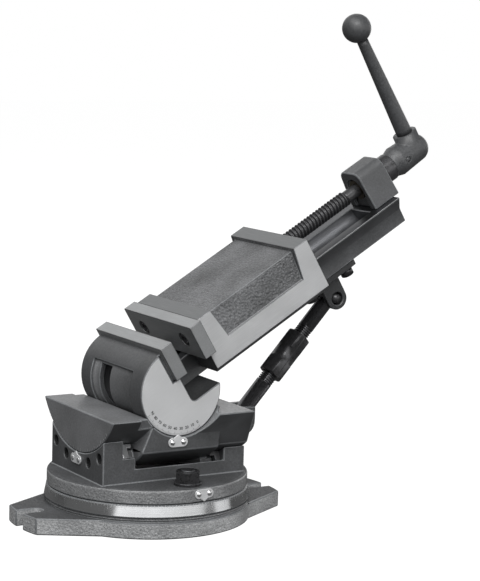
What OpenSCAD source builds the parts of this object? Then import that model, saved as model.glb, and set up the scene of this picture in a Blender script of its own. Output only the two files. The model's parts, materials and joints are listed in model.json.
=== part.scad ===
// Three-axis machine vise: a tilting screw vise, on a rocker that leans, on a swivel base.
// Millimetres. Z is up, X runs along the bed towards the crank, and the dial faces -Y.
// The origin is on the swivel axis at the underside of the base.

/* [Base] */
// Thickness of the flange and of the two lugs
flange_h = 12; // [9:0.5:14]
// Height of the base, up to the face that the swivel table turns on
base_h = 24; // [22:0.5:30]
// How far the graduated ring's top stands out beyond the swivel plate
ring_step = 0.2; // [0.1:0.1:1]
// How far the graduated ring flares out from its top to its foot
ring_flare = 1.8; // [1:0.1:3]
// Height of the plain band under the graduated ring
ring_band_h = 3; // [2:0.5:4]
// How far a lug reaches out beyond the flange
lug_out = 27; // [22:0.5:34]
// Width of a lug at its end
lug_w = 42; // [38:1:60]
// Angle at which the sides of a lug flare out towards the flange
lug_flare = 30; // [20:1:40]
// Width of the clamping slot in a lug
lug_slot_w = 11; // [9:0.5:13]
// Length of the clamping slot in a lug
lug_slot_len = 18; // [14:0.5:22]
// Depth of the hollow under the base
base_hollow_h = 13; // [8:0.5:16]

/* [Swivel table] */
// Radius of the swivel plate
plate_r = 73; // [68:0.5:82]
// Thickness of the swivel plate
plate_t = 10.5; // [9.5:0.5:16]
// Radius of the rounding on the plate's upper edge
plate_round = 2.5; // [1:0.5:4]
// Diameter of the swivel pivot pin
pivot_d = 20; // [14:0.5:24]
// Depth of the pivot bore in the swivel plate
pivot_depth = 6; // [4:0.5:7]
// Width of the block on the plate, across the bed
block_w = 82.6; // [76:0.2:88]
// Distance from the swivel axis to the outer faces of the block
block_reach = 57.4; // [56:0.2:60]
// Distance from the swivel axis to the inner face of the left post
left_post_x = 41.5; // [40:0.1:43]
// Distance from the swivel axis to the inner face of the right post
right_post_x = 40; // [39:0.1:42]
// Distance from the swivel axis to the step between the ledge and the trough floor
ledge_x = 31.6; // [31.5:0.1:32]
// Distance from the plate's edge to the middle of the swivel clamp bolts
clamp_edge = 13; // [12.5:0.5:15]

/* [Lean axis] */
// Radius of the trough floor about the lean axis
trough_r = 83.4; // [80:0.1:88]
// Thickness of the swivel plate under the trough floor
trough_floor = 9.8; // [9:0.1:12]
// Height of the arc ledge beside the left post, above the trough floor
ledge_rise = 6.8; // [6:0.1:7.6]
// Height of the arc seat on the left post, above the trough floor
left_seat_rise = 17.4; // [16:0.1:19]
// Height of the arc seat on the right post, above the trough floor
right_seat_rise = 7.8; // [7.6:0.1:9]
// Half of the arc that the left keeper covers
keeper_half_arc = 33; // [30:1:36]
// Half of the arc that the right keeper covers
right_half_arc = 27; // [25:1:28]
// Width of a keeper's leg against its post
keeper_leg_w = 4.6; // [4:0.1:5]
// How far a keeper's lip reaches over the rocker
keeper_lip_w = 3.6; // [3:0.1:4]
// Thickness of a keeper's lip
keeper_lip_t = 3; // [2.5:0.1:3.2]
// Angle from straight down to each inner keeper screw, and between neighbours
keeper_screw_step = 14; // [12:0.5:15]
// Diameter of a keeper screw
keeper_screw_d = 4; // [3:0.5:4]
// Distance from a keeper's outer edge to the middle of its screws
keeper_screw_edge = 3.4; // [3:0.1:4]

/* [Rocker] */
// Height of the flat top of the horns
horn_top = 82; // [80:0.5:84]
// Distance from the swivel axis to the horn's outer faces
horn_reach = 57.2; // [56:0.2:58]
// Distance from the swivel axis to the inner end of the left horn's tips
horn_inner_x = 34; // [33:0.5:36]
// Half width of the right horn at the post's top
right_horn_half = 44; // [42:0.5:46]
// Slope of the right horn's ends away from the upright
right_horn_draft = 23; // [15:1:26]
// Width of the saddle core across the bed
core_w = 100; // [98:0.5:102]
// Gap between the core's underside and the trough floor
core_gap = 5.1; // [4.6:0.1:6]
// Distance from the swivel axis to the foot of the core's left flank
core_left = 31.2; // [30:0.1:31.3]
// Distance from the swivel axis to the core's right flank
core_right = 30.5; // [30:0.1:31]
// Slope of the core's left flank away from the upright
core_flank = 24; // [18:1:28]
// Height at which the sloping part of the left flank starts
core_flank_z = 58.5; // [56:0.5:60]

/* [Vise body] */
// Tilt of the bed as modelled, read on the dial
rest_tilt = 31; // [28:0.5:33]
// Height of the drum axis above the table that the vise stands on
drum_z = 99; // [98:0.5:100]
// Radius of the drum
drum_r = 32; // [31:0.5:33]
// How far the dial face lies behind the front face of the saddle core
dial_inset = 2; // [1:0.5:4]
// Distance from the middle of the bed to the far end of the drum
drum_back = 46.5; // [44:0.5:48]
// Height of the bed's top above the drum axis
bed_top = 9; // [8:0.5:10]
// Height of the bed from its underside to its top
bed_h = 21.5; // [20:0.5:24]
// Width of the bed across its top
bed_w = 46; // [42:0.5:50]
// Width of the bed below its dovetail
bed_neck_w = 34; // [32:0.5:36]
// Height of the upright land on the bed's upper edges
bed_land = 1; // [0.5:0.5:2]
// Height from the bed's top to the foot of its dovetail
dovetail_h = 10.5; // [9:0.5:11]
// Distance from the drum axis to the end of the bed
bed_end = 238; // [232:1:246]
// Radius of the channel in the bed's top
channel_r = 13; // [11:0.5:13.5]
// Distance from the drum axis to the near end of the channel
channel_start = 18; // [14:0.5:24]
// Distance from the drum axis to the notch that the moving jaw closes into
notch_x = 4; // [3:0.5:6]
// Radius of the rounding in the notch's corner
notch_round = 4; // [2:0.5:5]
// Width and depth of the rebate beside the fixed plate, in the dial face
edge_rebate = 2.4; // [2:0.2:4]

/* [Drum clamp slot] */
// Distance from the middle of the bed to the middle of the drum's T-slot
drum_slot_y = 12.5; // [11:0.5:14]
// Width of the T-slot's mouth
drum_slot_w = 16; // [14:0.5:17]
// Width of the T-slot's head space
drum_head_w = 26; // [24:0.5:28]
// Thickness of the T-slot's lips
drum_lip = 6; // [5:0.5:7]
// Height of the T-slot's head space
drum_head_h = 8.5; // [8:0.5:10]
// Angle on the drum at which the T-slot opens, from the bed's direction
drum_slot_from = 127; // [120:1:132]
// Angle on the drum at which the T-slot ends
drum_slot_to = 300; // [290:1:305]
// Depth of the turned relief between the drum's two rims
relief_depth = 2; // [1:0.5:3]
// Width of the dial's rim
dial_rim_w = 18.5; // [15:0.5:20]
// Width of the rim at the far end of the drum
back_rim_w = 16; // [12:0.5:18]

/* [Jaw plates] */
// Width of both jaw plates
jaw_w = 100; // [98:1:120]
// Thickness of a jaw plate
jaw_plate_t = 10; // [9:0.5:12]
// Height of a jaw plate
jaw_plate_h = 27; // [25:0.5:30]
// Opening between the two plates as modelled
jaw_open = 17; // [12:0.5:30]
// Diameter of a jaw plate screw
jaw_screw_d = 6; // [5:0.5:8]
// Distance between the two screws of a plate
jaw_screw_gap = 60; // [54:1:66]
// Length of a jaw plate screw in the jaw behind the plate
jaw_screw_grip = 9; // [7:0.5:10]

/* [Moving jaw] */
// Length of the moving jaw behind its plate
moving_len = 105; // [100:1:112]
// Width of the moving jaw
moving_w = 90; // [84:1:96]
// Height of the moving jaw's front wall and rear bar above the bed
moving_h = 27; // [26:0.5:28]
// How far the moving jaw's sides reach below the bed's top
skirt_h = 16.5; // [14:0.5:18]
// Chamfer on the lower edges of the moving jaw's sides
skirt_chamfer = 3; // [1:0.5:4]
// How far the moving jaw reaches forward under its plate
jaw_ledge = 3.6; // [2:0.2:6]
// Thickness of the moving jaw's front wall
front_wall = 12; // [11:0.5:14]
// Thickness of the moving jaw's rear bar
rear_bar = 13; // [10:0.5:15]
// Height above the bed of the machined band along the sides
band_h = 3; // [2:0.5:5]
// How far the cast top lies below the machined frame
cast_drop = 2.6; // [2:0.1:2.8]
// How far the cast sides lean in between the band and the cast top
cast_lean = 3.5; // [2:0.5:6]
// How far the ends of the side recess lean, between its top and the band
recess_lean = 4; // [2:0.5:6]
// Half width of the hollow that the screw runs in
hollow_half = 12; // [9:0.5:13]
// Thickness of the gib strip in the dovetail
gib_t = 4; // [3:0.5:5]
// Diameter of a gib screw
gib_screw_d = 5; // [4:0.5:5]
// Distance between gib screws
gib_screw_gap = 34; // [30:1:36]

/* [Screw and crank] */
// Diameter over the lead screw's thread
screw_d = 12; // [11:0.5:13]
// Height of the lead screw's axis above the bed
screw_h = 15.5; // [15:0.1:16]
// Distance from the drum axis to the lead screw's free end
screw_tip = 114; // [112:0.5:116]
// Diameter of the lead screw's journal
journal_d = 10; // [9:0.5:10]
// Outer diameter of the lead nut
nut_d = 16; // [15:0.5:16]
// Length of the lead nut
nut_len = 26; // [24:0.5:28]
// Length of the screw bracket along the bed
bracket_len = 24; // [20:0.5:28]
// How far the screw bracket overhangs the end of the bed
bracket_over = 5; // [2:0.5:7]
// Width of the screw bracket at its foot
bracket_w = 34; // [32:0.5:36]
// Width of the screw bracket near its top
bracket_top_w = 25; // [22:0.5:27]
// Radius of the screw bracket's round top about the screw axis
bracket_round = 15.5; // [14:0.5:16]
// Outer diameter of the bearing bush
bush_d = 16; // [14:0.5:17]
// Depth of the arched recess in the bracket's front
arch_depth = 2; // [1:0.5:4]
// Half width of the arched recess in the bracket's front
arch_half = 9.5; // [9:0.5:10.5]
// Diameter of a bracket screw
bracket_screw_d = 6; // [5:0.5:6]
// Diameter of the thrust collar
collar_d = 21.6; // [20:0.2:24]
// Length of the thrust collar
collar_len = 11; // [9:0.5:13]
// Length of the crank hub along the screw
hub_len = 36.5; // [35:0.5:46]
// Diameter of the crank hub
hub_d = 24; // [22:0.5:27]
// Diameter of the crank hub's neck
hub_neck_d = 20; // [18:0.5:21]
// Length of the flare between the hub's neck and its body
hub_flare = 7; // [5:0.5:9]
// Distance from the hub's neck end to the crank arm's axis
arm_x = 24; // [21:0.5:26]
// Diameter of the boss that holds the crank arm
arm_boss_d = 19; // [17:0.5:21]
// Height of the boss above the screw axis
arm_boss_h = 15; // [14:0.5:17]
// Distance from the screw axis to the middle of the crank ball
crank_radius = 107; // [95:1:120]
// Diameter of the crank arm at the hub
arm_d = 12.6; // [11:0.2:14]
// Diameter of the crank arm at the ball
arm_end_d = 8.6; // [8:0.2:10]
// Diameter of the crank ball
ball_d = 22; // [20:0.5:25]

/* [Strut] */
// Distance from the swivel axis to the strut's lower pivot
strut_foot_x = 74; // [73:0.5:76]
// Height of the strut's lower pivot
strut_foot_z = 64; // [62:0.5:65]
// Distance along the bed from the drum axis to the strut's upper pivot
strut_head_x = 159.4; // [156:0.2:163]
// Distance from the drum axis down to the strut's upper pivot, square to the bed
strut_head_drop = 33.4; // [32:0.2:36]
// Diameter of the strut rods
rod_d = 12; // [11:0.5:13]
// Radius of the eyes on the strut rods
eye_r = 8; // [7:0.5:8.5]
// Thickness of the eyes on the strut rods
eye_t = 12.6; // [11:0.2:13]
// Diameter of the strut's lower pin
lower_pin_d = 8; // [6:0.5:8.5]
// Diameter of the strut's upper pin
upper_pin_d = 6; // [5:0.5:6.5]
// Diameter of the holes in the upper ears
upper_hole_d = 10; // [9:0.5:10.5]
// Thickness of each strut ear
ear_t = 5; // [4:0.5:6]
// Radius of the upper ears
upper_ear_r = 8.5; // [8:0.5:9]
// Radius of the lower ears
lower_ear_r = 10; // [9.5:0.5:11]
// Width across the flats of the turnbuckle sleeve
sleeve_af = 18; // [17:0.5:20]
// Length of the turnbuckle sleeve
sleeve_len = 37.4; // [36:0.2:40]
// Length of the turned waist in the middle of the sleeve
waist_len = 10; // [8:0.5:14]
// Distance from the strut's lower pivot to the sleeve
sleeve_start = 43.2; // [42:0.2:46]
// How far the lower rod's journal sits in the sleeve
lower_grip = 5.6; // [4:0.2:6]
// How far the upper rod is screwed into the sleeve as modelled
upper_grip = 17.4; // [16:0.2:18]
// Length of the strut bracket's pad along the bed
pad_len = 50; // [46:1:54]
// Width of the strut bracket's pad
pad_w = 32; // [30:0.5:34]
// Thickness of the strut bracket's pad
pad_t = 5; // [4:0.5:6]
// Diameter of a pad screw
pad_screw_d = 6; // [5:0.5:6]

/* [Clamp bolts and index plates] */
// Diameter of a swivel clamp bolt
swivel_bolt_d = 10; // [8:0.5:10]
// Diameter of the tilt clamp bolt
tilt_bolt_d = 12; // [10:0.5:12]
// Distance between the rivets of an index plate
rivet_gap = 8.8; // [8.4:0.2:11]
// Radius of the lobes round an index plate's rivets
lobe_r = 3.3; // [3:0.1:3.6]
// Distance from an index plate's rivets to the tip of its pointer
pointer_len = 5.6; // [5:0.1:6]
// Thickness of an index plate
index_t = 1; // [0.8:0.1:1.4]
// Diameter of a rivet head
rivet_head_d = 4; // [3.4:0.2:4.4]

/* [Clearances] */
// Gap between round faces that slide on each other
run_gap = 0.3; // [0.25:0.05:0.4]
// Radial gap between a pin and the bore that it turns in
pin_gap = 0.05; // [0.03:0.01:0.08]
// Gap between the bed and the moving jaw's guides
guide_gap = 0.15; // [0.1:0.05:0.2]
// Gap round a bolt in its drilled hole
drill_gap = 0.5; // [0.3:0.1:0.6]

/* [Hidden] */
$fn = 96;
eps = 0.01;
far = 300;
// Socket screw heads, hexagon nuts and washers, as shares of the thread diameter
cap_d_ratio = 1.65;
cap_h_ratio = 1;
hex_ratio = 1.65;
washer_ratio = 2;
// The swivel table stands one running gap above the base
plate_z = base_h + run_gap;
block_z = plate_z + plate_t;
// The pivot pin stands in a blind bore
pivot_foot = 4;
// The base follows the swivel plate
ring_top_r = plate_r + ring_step;
ring_foot_r = ring_top_r + ring_flare;
flange_r = ring_foot_r;
lug_reach = flange_r + lug_out;
lug_slot_end = lug_reach - lug_slot_len;
clamp_r = plate_r - clamp_edge;
// The ring-shaped T-slot in the base, sized from the bolt
ring_slot_w = swivel_bolt_d + 1;
ring_head_w = 2 * swivel_bolt_d - 1;
ring_lip = 6.5;
ring_head_h = swivel_bolt_d + 0.5;
swivel_head_w = ring_head_w - 4 * drill_gap;
swivel_head_h = 0.8 * swivel_bolt_d;
nut_h = 0.8 * swivel_bolt_d;
washer_t = 0.2 * swivel_bolt_d;
bolt_end = 0.06 * swivel_bolt_d;
swivel_nut_z = block_z + washer_t;
// The seats about the lean axis follow the trough floor
lean_z = plate_z + trough_floor + trough_r;
ledge_r = trough_r - ledge_rise;
left_seat_r = trough_r - left_seat_rise;
right_seat_r = trough_r - right_seat_rise;
// The rocker follows the seats of the swivel table
core_r = trough_r - core_gap;
left_horn_r = left_seat_r - run_gap;
right_horn_r = right_seat_r - run_gap;
left_leg_x = left_post_x - keeper_leg_w;
right_leg_x = right_post_x - keeper_leg_w;
right_lip_x = right_leg_x - keeper_lip_w;
keeper_seat = (block_reach - left_post_x) / 2;
foot_short = 3;
right_screw_steps = 1.5;
left_foot_r = ledge_r - 1;
right_foot_r = trough_r - 1;
core_drop = 12;
core_top = drum_z - core_drop;
// The drum and the fixed jaw, in the tilted frame of the bed
dial_y = core_w / 2 - dial_inset;
bed_bottom = bed_top - bed_h;
plate_lift = run_gap;
plate_bottom = bed_top + plate_lift;
jaw_screw_z = plate_bottom + jaw_plate_h / 2;
jaw_screw_seat = jaw_plate_t - cap_h_ratio * jaw_screw_d - drill_gap;
head_out_r = drum_r - drum_lip;
head_in_r = head_out_r - drum_head_h;
mouth_back = 12;
mouth_ease = 1;
mouth_angle = drum_slot_to - mouth_back;
relief_past = 3;
seat_r = drum_r + run_gap;
// The moving jaw
moving_plate_x = jaw_plate_t + jaw_open;
moving_x = moving_plate_x + jaw_plate_t;
moving_end = moving_x + moving_len;
moving_top = bed_top + moving_h;
skirt_bottom = bed_top - skirt_h;
band_top = bed_top + band_h;
cast_top = moving_top - cast_drop;
recess_from = moving_x + front_wall;
recess_to = moving_end - rear_bar;
cast_step = 1.5;
gib_inset = 5;
gib_screw_z = bed_top - dovetail_h / 2;
gib_slope = (bed_w - bed_neck_w) / 2 / (dovetail_h - bed_land);
gib_screw_y = bed_neck_w / 2 + guide_gap + gib_t + gib_slope * (dovetail_h / 2 + gib_screw_d / 2);
// The screw and the crank
screw_z = bed_top + screw_h;
bracket_to = bed_end + bracket_over;
bracket_x = bracket_to - bracket_len;
collar_x = bracket_to + run_gap;
hub_x = collar_x + collar_len;
crank_x = hub_x + arm_x;
hub_nose = 12;
spigot_len = hub_len - hub_nose;
hub_pin_d = 4;
hub_pin_x = hub_x + 11;
set_screw_d = 5;
hub_round = 9.5;
arm_shank_d = 8;
arm_spigot_d = 6;
arm_spigot_len = 10;
ball_flat_z = crank_radius - sqrt(pow(ball_d / 2, 2) - pow(arm_end_d / 2, 2));
bracket_screw_y = bracket_w / 2 - 7;
bracket_screw_x = bracket_x + 6;
bracket_screw_deep = 1.6 * bracket_screw_d;
bracket_head_deep = bracket_screw_d + 1;
// The strut lies between its two pivots
strut_head = [strut_head_x * cos(rest_tilt) + strut_head_drop * sin(rest_tilt),
              drum_z + strut_head_x * sin(rest_tilt) - strut_head_drop * cos(rest_tilt)];
strut_dx = strut_head[0] - strut_foot_x;
strut_dz = strut_head[1] - strut_foot_z;
strut_len = sqrt(strut_dx * strut_dx + strut_dz * strut_dz);
strut_angle = atan2(strut_dz, strut_dx);
ear_gap = eye_t + 1;
ear_out = ear_gap / 2 + ear_t;
sleeve_end = sleeve_start + sleeve_len;
pad_x = strut_head_x - pad_len / 2;
pad_z = bed_bottom - pad_t;
pad_screw_x = pad_len / 2 - 7;
pad_screw_y = pad_w / 2 - 7;
pad_screw_deep = 1.2 * pad_screw_d;
// The tilt clamp under the drum
tilt_nut_h = 0.58 * tilt_bolt_d;
tilt_washer_t = 2.5;
tilt_pocket_d = 2.15 * tilt_bolt_d;
clamp_wall = 15;
tilt_seat_z = drum_z - drum_r - clamp_wall;
tilt_nut_z = tilt_seat_z - tilt_washer_t - tilt_nut_h;
// The index plates
tilt_index_z = 63.4;
tilt_index_x = -3.2;
// The right horn starts beside the tilt index plate
right_horn_from = tilt_index_x + rivet_gap / 2 + lobe_r + drill_gap;
lean_index_z = lean_z - left_seat_r - pointer_len + 0.4;
swivel_index_z = plate_z + pointer_len + 0.2;
swivel_index_turn = 5.2;
rivet_shank_d = 2;
rivet_head_h = 1.1;
rivet_deep = 3;

// Placing helpers

// An outline in X and Z, pushed along Y
module along_y(from, to) {
    translate([0, to, 0]) rotate([90, 0, 0]) linear_extrude(to - from) children();
}

// An outline in Y and Z, pushed along X
module along_x(from, to) {
    translate([from, 0, 0]) rotate([90, 0, 90]) linear_extrude(to - from) children();
}

module rod_x(d, from, to) {
    translate([from, 0, 0]) rotate([0, 90, 0]) cylinder(d = d, h = to - from);
}

module rod_y(d, from, to) {
    translate([0, to, 0]) rotate([90, 0, 0]) cylinder(d = d, h = to - from);
}

// The frame of the bed: X along the bed, Z square to it, the drum axis at the origin
module in_vise() {
    translate([0, 0, drum_z]) rotate([0, -rest_tilt, 0]) children();
}

// The frame of the screw: X along the screw's axis
module in_screw() {
    in_vise() translate([0, 0, screw_z]) children();
}

// The frame of the strut: X from its lower pivot to its upper one
module in_strut() {
    translate([strut_foot_x, 0, strut_foot_z]) rotate([0, -strut_angle, 0]) children();
}

// A disc about the lean axis
module lean_disc(r, from, to) {
    translate([0, 0, lean_z]) rod_x(2 * r, from, to);
}

// A ring segment about the lean axis, from an outline of radius and X
module lean_arc(half_arc) {
    translate([0, 0, lean_z]) rotate([0, 90, 0]) rotate([0, 0, -half_arc])
        rotate_extrude(angle = 2 * half_arc) children();
}

// A point at a radius and an angle from straight down about the lean axis
module at_lean(r, angle) {
    translate([0, r * sin(angle), lean_z - r * cos(angle)]) children();
}

// A socket screw along X: the head ends at X = 0 and the shank runs towards +X
module socket_screw(d, grip) {
    rod_x(cap_d_ratio * d, -cap_h_ratio * d, 0);
    rod_x(d, -eps, grip);
}

// The counterbored hole that a socket screw sits in, open from X = -head_room
module socket_hole(d, grip, head_room) {
    rod_x(cap_d_ratio * d + 2 * drill_gap, -head_room, 0);
    rod_x(d, -eps, grip);
}

// A hexagon nut along Z
module hex_nut(d, h) {
    difference() {
        cylinder(d = hex_ratio * d / cos(30), h = h, $fn = 6);
        translate([0, 0, -1]) cylinder(d = d, h = h + 2);
    }
}

// Two lobes with a triangular pointer between them
module index_outline() {
    for (side = [-1, 1]) translate([side * rivet_gap / 2, 0]) circle(lobe_r);
    polygon([[-rivet_gap / 2, -lobe_r], [rivet_gap / 2, -lobe_r], [rivet_gap / 2, lobe_r * 0.7],
             [0, pointer_len], [-rivet_gap / 2, lobe_r * 0.7]]);
}

module index_holes() {
    for (side = [-1, 1]) translate([side * rivet_gap / 2, 0]) circle(d = rivet_shank_d);
}

// An index plate that lies in X and Y, with its back face at Z = 0
module index_plate() {
    linear_extrude(index_t) difference() {
        index_outline();
        index_holes();
    }
}

module index_rivets() {
    for (side = [-1, 1]) translate([side * rivet_gap / 2, 0, 0]) {
        translate([0, 0, -rivet_deep]) cylinder(d = rivet_shank_d, h = rivet_deep + index_t + eps);
        translate([0, 0, index_t]) rotate_extrude() intersection() {
            translate([0, rivet_head_h - rivet_head_d / 1.6]) circle(d = rivet_head_d * 1.25);
            square([rivet_head_d / 2, rivet_head_h]);
        }
    }
}

module index_rivet_holes() {
    for (side = [-1, 1])
        translate([side * rivet_gap / 2, 0, -rivet_deep]) cylinder(d = rivet_shank_d, h = rivet_deep + 1);
}

module at_tilt_index() {
    translate([tilt_index_x, -core_w / 2, tilt_index_z]) rotate([90, 0, 0]) children();
}

module at_lean_index() {
    translate([-block_reach, 0, lean_index_z]) rotate([90, 0, -90]) children();
}

// The swivel index plate points down at the graduated ring
module at_swivel_index() {
    rotate([0, 0, swivel_index_turn]) translate([0, -plate_r + index_t, swivel_index_z])
        rotate([90, 180, 0]) children();
}

// Base

module lug_outline() {
    inner_x = flange_r * 0.66;
    inner_half = lug_w / 2 + (lug_reach - inner_x) * tan(lug_flare);
    intersection() {
        circle(lug_reach);
        union() for (side = [0, 180]) rotate(side)
            polygon([[lug_reach, -lug_w / 2], [lug_reach, lug_w / 2], [inner_x, inner_half], [inner_x, -inner_half]]);
    }
}

module lug_slots() {
    for (side = [0, 180]) rotate(side) translate([lug_slot_end + lug_slot_w / 2, 0]) {
        circle(d = lug_slot_w);
        translate([0, -lug_slot_w / 2]) square([lug_reach, lug_slot_w]);
    }
}

// The graduated ring is slightly conical, above a plain band and a turned groove
module base_profile() {
    groove = 0.8;
    polygon([[0, 0], [flange_r, 0], [flange_r, flange_h - 1], [flange_r - 1, flange_h],
             [ring_foot_r - 2 * groove, flange_h], [ring_foot_r - 2 * groove, flange_h + groove],
             [ring_foot_r - groove, flange_h + groove], [ring_foot_r - groove, flange_h + ring_band_h],
             [ring_foot_r, flange_h + ring_band_h], [ring_top_r, base_h], [0, base_h]]);
}

module ring_slot_profile() {
    translate([clamp_r - ring_slot_w / 2, base_h - ring_lip - eps]) square([ring_slot_w, ring_lip + 1]);
    translate([clamp_r - ring_head_w / 2, base_h - ring_lip - ring_head_h]) square([ring_head_w, ring_head_h]);
}

module base_casting() {
    hollow_r = clamp_r - ring_head_w / 2 - 6;
    boss_r = pivot_d / 2 + 8;
    color("#8c8e90") difference() {
        union() {
            rotate_extrude() base_profile();
            linear_extrude(flange_h) lug_outline();
        }
        translate([0, 0, -1]) linear_extrude(flange_h + 2) lug_slots();
        rotate_extrude() ring_slot_profile();
        translate([0, 0, -1]) rotate_extrude() translate([boss_r, 0])
            square([hollow_r - boss_r, base_hollow_h + 1]);
        translate([0, 0, pivot_foot]) cylinder(d = pivot_d, h = base_h);
        // The hole through which the clamp bolts' heads go into the T-slot from below
        translate([clamp_r, 0, -1]) cylinder(d = ring_head_w, h = base_h - ring_lip);
    }
}

module swivel_pivot_pin() {
    color("#b9bbbd") translate([0, 0, pivot_foot])
        cylinder(d = pivot_d, h = plate_z + pivot_depth - run_gap - pivot_foot);
}

// Swivel table

module plate_profile() {
    difference() {
        translate([0, plate_z]) square([plate_r, plate_t]);
        translate([plate_r - plate_round, block_z - plate_round]) difference() {
            square(plate_round + 1);
            circle(plate_round);
        }
    }
}

// The stepped trough: arcs about the lean axis, from the left post to the right one
module trough_cut() {
    lean_disc(left_seat_r, -far, -left_post_x + eps);
    lean_disc(ledge_r, -left_post_x, -ledge_x + eps);
    lean_disc(trough_r, -ledge_x, right_post_x);
    lean_disc(right_seat_r, right_post_x - eps, far);
}

// The keeper screws enter each post from its outer face, and their heads lie in the post
module at_left_screws() {
    for (step = [-2, -1, 1, 2]) at_lean(ledge_r - keeper_screw_edge, step * keeper_screw_step)
        translate([-left_post_x - keeper_seat, 0, 0]) children();
}

module at_right_screws() {
    for (side = [-1, 1]) at_lean(trough_r - keeper_screw_edge, side * right_screw_steps * keeper_screw_step)
        mirror([1, 0, 0]) translate([-right_post_x - keeper_seat, 0, 0]) children();
}

module keeper_screw() {
    socket_screw(keeper_screw_d, keeper_seat + keeper_leg_w - 0.4);
}

module keeper_screw_hole() {
    socket_hole(keeper_screw_d, keeper_seat + far, far);
}

module post_screw_hole() {
    socket_hole(keeper_screw_d, keeper_seat + 1, far);
}

module swivel_table() {
    color("#4a4c4f") difference() {
        union() {
            rotate_extrude() plate_profile();
            translate([-block_reach, -block_w / 2, block_z - eps])
                cube([2 * block_reach, block_w, lean_z - block_z]);
        }
        trough_cut();
        translate([0, 0, plate_z - 1]) cylinder(d = pivot_d + 2 * pin_gap, h = pivot_depth + 1);
        for (side = [-1, 1]) translate([0, side * clamp_r, 0])
            cylinder(d = swivel_bolt_d, h = lean_z);
        at_left_screws() post_screw_hole();
        at_right_screws() post_screw_hole();
        at_swivel_index() translate([-plate_r / 2, -plate_t, 0]) cube([plate_r, 2 * plate_t, plate_r]);
        at_swivel_index() index_rivet_holes();
        at_lean_index() index_rivet_holes();
    }
}

// Each keeper is an angle strip: a leg against its post and a lip over the rocker's foot
module keeper_outline(post_x, top_r, bottom_r) {
    leg_x = post_x - keeper_leg_w;
    lip_x = leg_x - keeper_lip_w;
    polygon([[top_r, post_x], [bottom_r, post_x], [bottom_r, leg_x], [top_r + keeper_lip_t, leg_x],
             [top_r + keeper_lip_t, lip_x], [top_r, lip_x]]);
}

module lean_keeper_left() {
    color("#c3c5c7") difference() {
        mirror([1, 0, 0]) lean_arc(keeper_half_arc) keeper_outline(left_post_x, left_seat_r, ledge_r);
        at_left_screws() keeper_screw_hole();
    }
}

module lean_keeper_right() {
    color("#c3c5c7") difference() {
        lean_arc(right_half_arc) keeper_outline(right_post_x, right_seat_r, trough_r);
        at_right_screws() keeper_screw_hole();
    }
}

module lean_keeper_screws() {
    color("#2b2c2e") {
        at_left_screws() keeper_screw();
        at_right_screws() keeper_screw();
    }
}

module at_swivel_bolts() {
    for (side = [-1, 1]) translate([0, side * clamp_r, 0]) children();
}

module swivel_clamp_bolts() {
    head_z = base_h - ring_lip - run_gap - swivel_head_h;
    color("#3a3b3d") at_swivel_bolts() {
        translate([-swivel_head_w / 2, -swivel_head_w / 2, head_z])
            cube([swivel_head_w, swivel_head_w, swivel_head_h]);
        translate([0, 0, head_z + eps]) cylinder(d = swivel_bolt_d, h = swivel_nut_z + nut_h + bolt_end - head_z);
    }
}

module swivel_clamp_washers() {
    color("#8f9194") at_swivel_bolts() translate([0, 0, block_z]) difference() {
        cylinder(d = washer_ratio * swivel_bolt_d, h = washer_t);
        translate([0, 0, -1]) cylinder(d = swivel_bolt_d, h = washer_t + 2);
    }
}

module swivel_clamp_nuts() {
    color("#3a3b3d") at_swivel_bolts() translate([0, 0, swivel_nut_z]) hex_nut(swivel_bolt_d, nut_h);
}

module swivel_index_plate() {
    color("#cfd1d2") at_swivel_index() index_plate();
}

module swivel_index_rivets() {
    color("#e2e3e4") at_swivel_index() index_rivets();
}

module lean_index_plate() {
    color("#cfd1d2") at_lean_index() index_plate();
}

module lean_index_rivets() {
    color("#e2e3e4") at_lean_index() index_rivets();
}

// Rocker

// The core seen along Y, with its sloping left flank
module core_outline() {
    lean_in = (drum_z - core_flank_z) * tan(core_flank);
    polygon([[-core_left, 0], [core_right, 0], [core_right, core_top], [0, core_top], [0, drum_z],
             [-core_left + lean_in, drum_z], [-core_left, core_flank_z]]);
}

// The right horn seen along X, with its drafted ends
module right_horn_outline() {
    foot_z = lean_z - sqrt(pow(right_seat_r, 2) - pow(block_w / 2, 2));
    top_half = right_horn_half + (horn_top - foot_z) * tan(right_horn_draft);
    polygon([[-right_horn_half, 0], [right_horn_half, 0], [right_horn_half, foot_z], [top_half, horn_top],
             [-top_half, horn_top], [-right_horn_half, foot_z]]);
}

// The feet hook under the lips of the two keepers
module rocker_feet() {
    left_lip_r = left_seat_r + keeper_lip_t + run_gap;
    right_lip_r = right_seat_r + keeper_lip_t + run_gap;
    rib_x = core_right - 5;
    mirror([1, 0, 0]) lean_arc(keeper_half_arc - foot_short)
        polygon([[left_lip_r, core_left - 1], [left_foot_r, core_left - 1],
                 [left_foot_r, left_leg_x - run_gap], [left_lip_r, left_leg_x - run_gap]]);
    lean_arc(right_half_arc - foot_short)
        polygon([[core_r - 1, rib_x], [right_foot_r, rib_x], [right_foot_r, right_leg_x - run_gap],
                 [right_lip_r, right_leg_x - run_gap], [right_lip_r, right_lip_x - run_gap],
                 [core_r - 1, right_lip_x - run_gap]]);
}

module lower_ear_outline() {
    root_x = horn_reach - 1;
    translate([strut_foot_x, strut_foot_z]) circle(lower_ear_r);
    translate([root_x, strut_foot_z - lower_ear_r]) square([strut_foot_x - root_x, 2 * lower_ear_r]);
    translate([root_x, strut_foot_z]) square([strut_foot_x + lower_ear_r - root_x, lower_ear_r + 1]);
}

module on_both_ears() {
    for (side = [-1, 1]) translate([0, side * (ear_gap + ear_t) / 2, 0]) children();
}

module below_horn_top(half_w) {
    intersection() {
        children();
        translate([-far, -half_w, 0]) cube([2 * far, 2 * half_w, horn_top]);
    }
}

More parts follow.
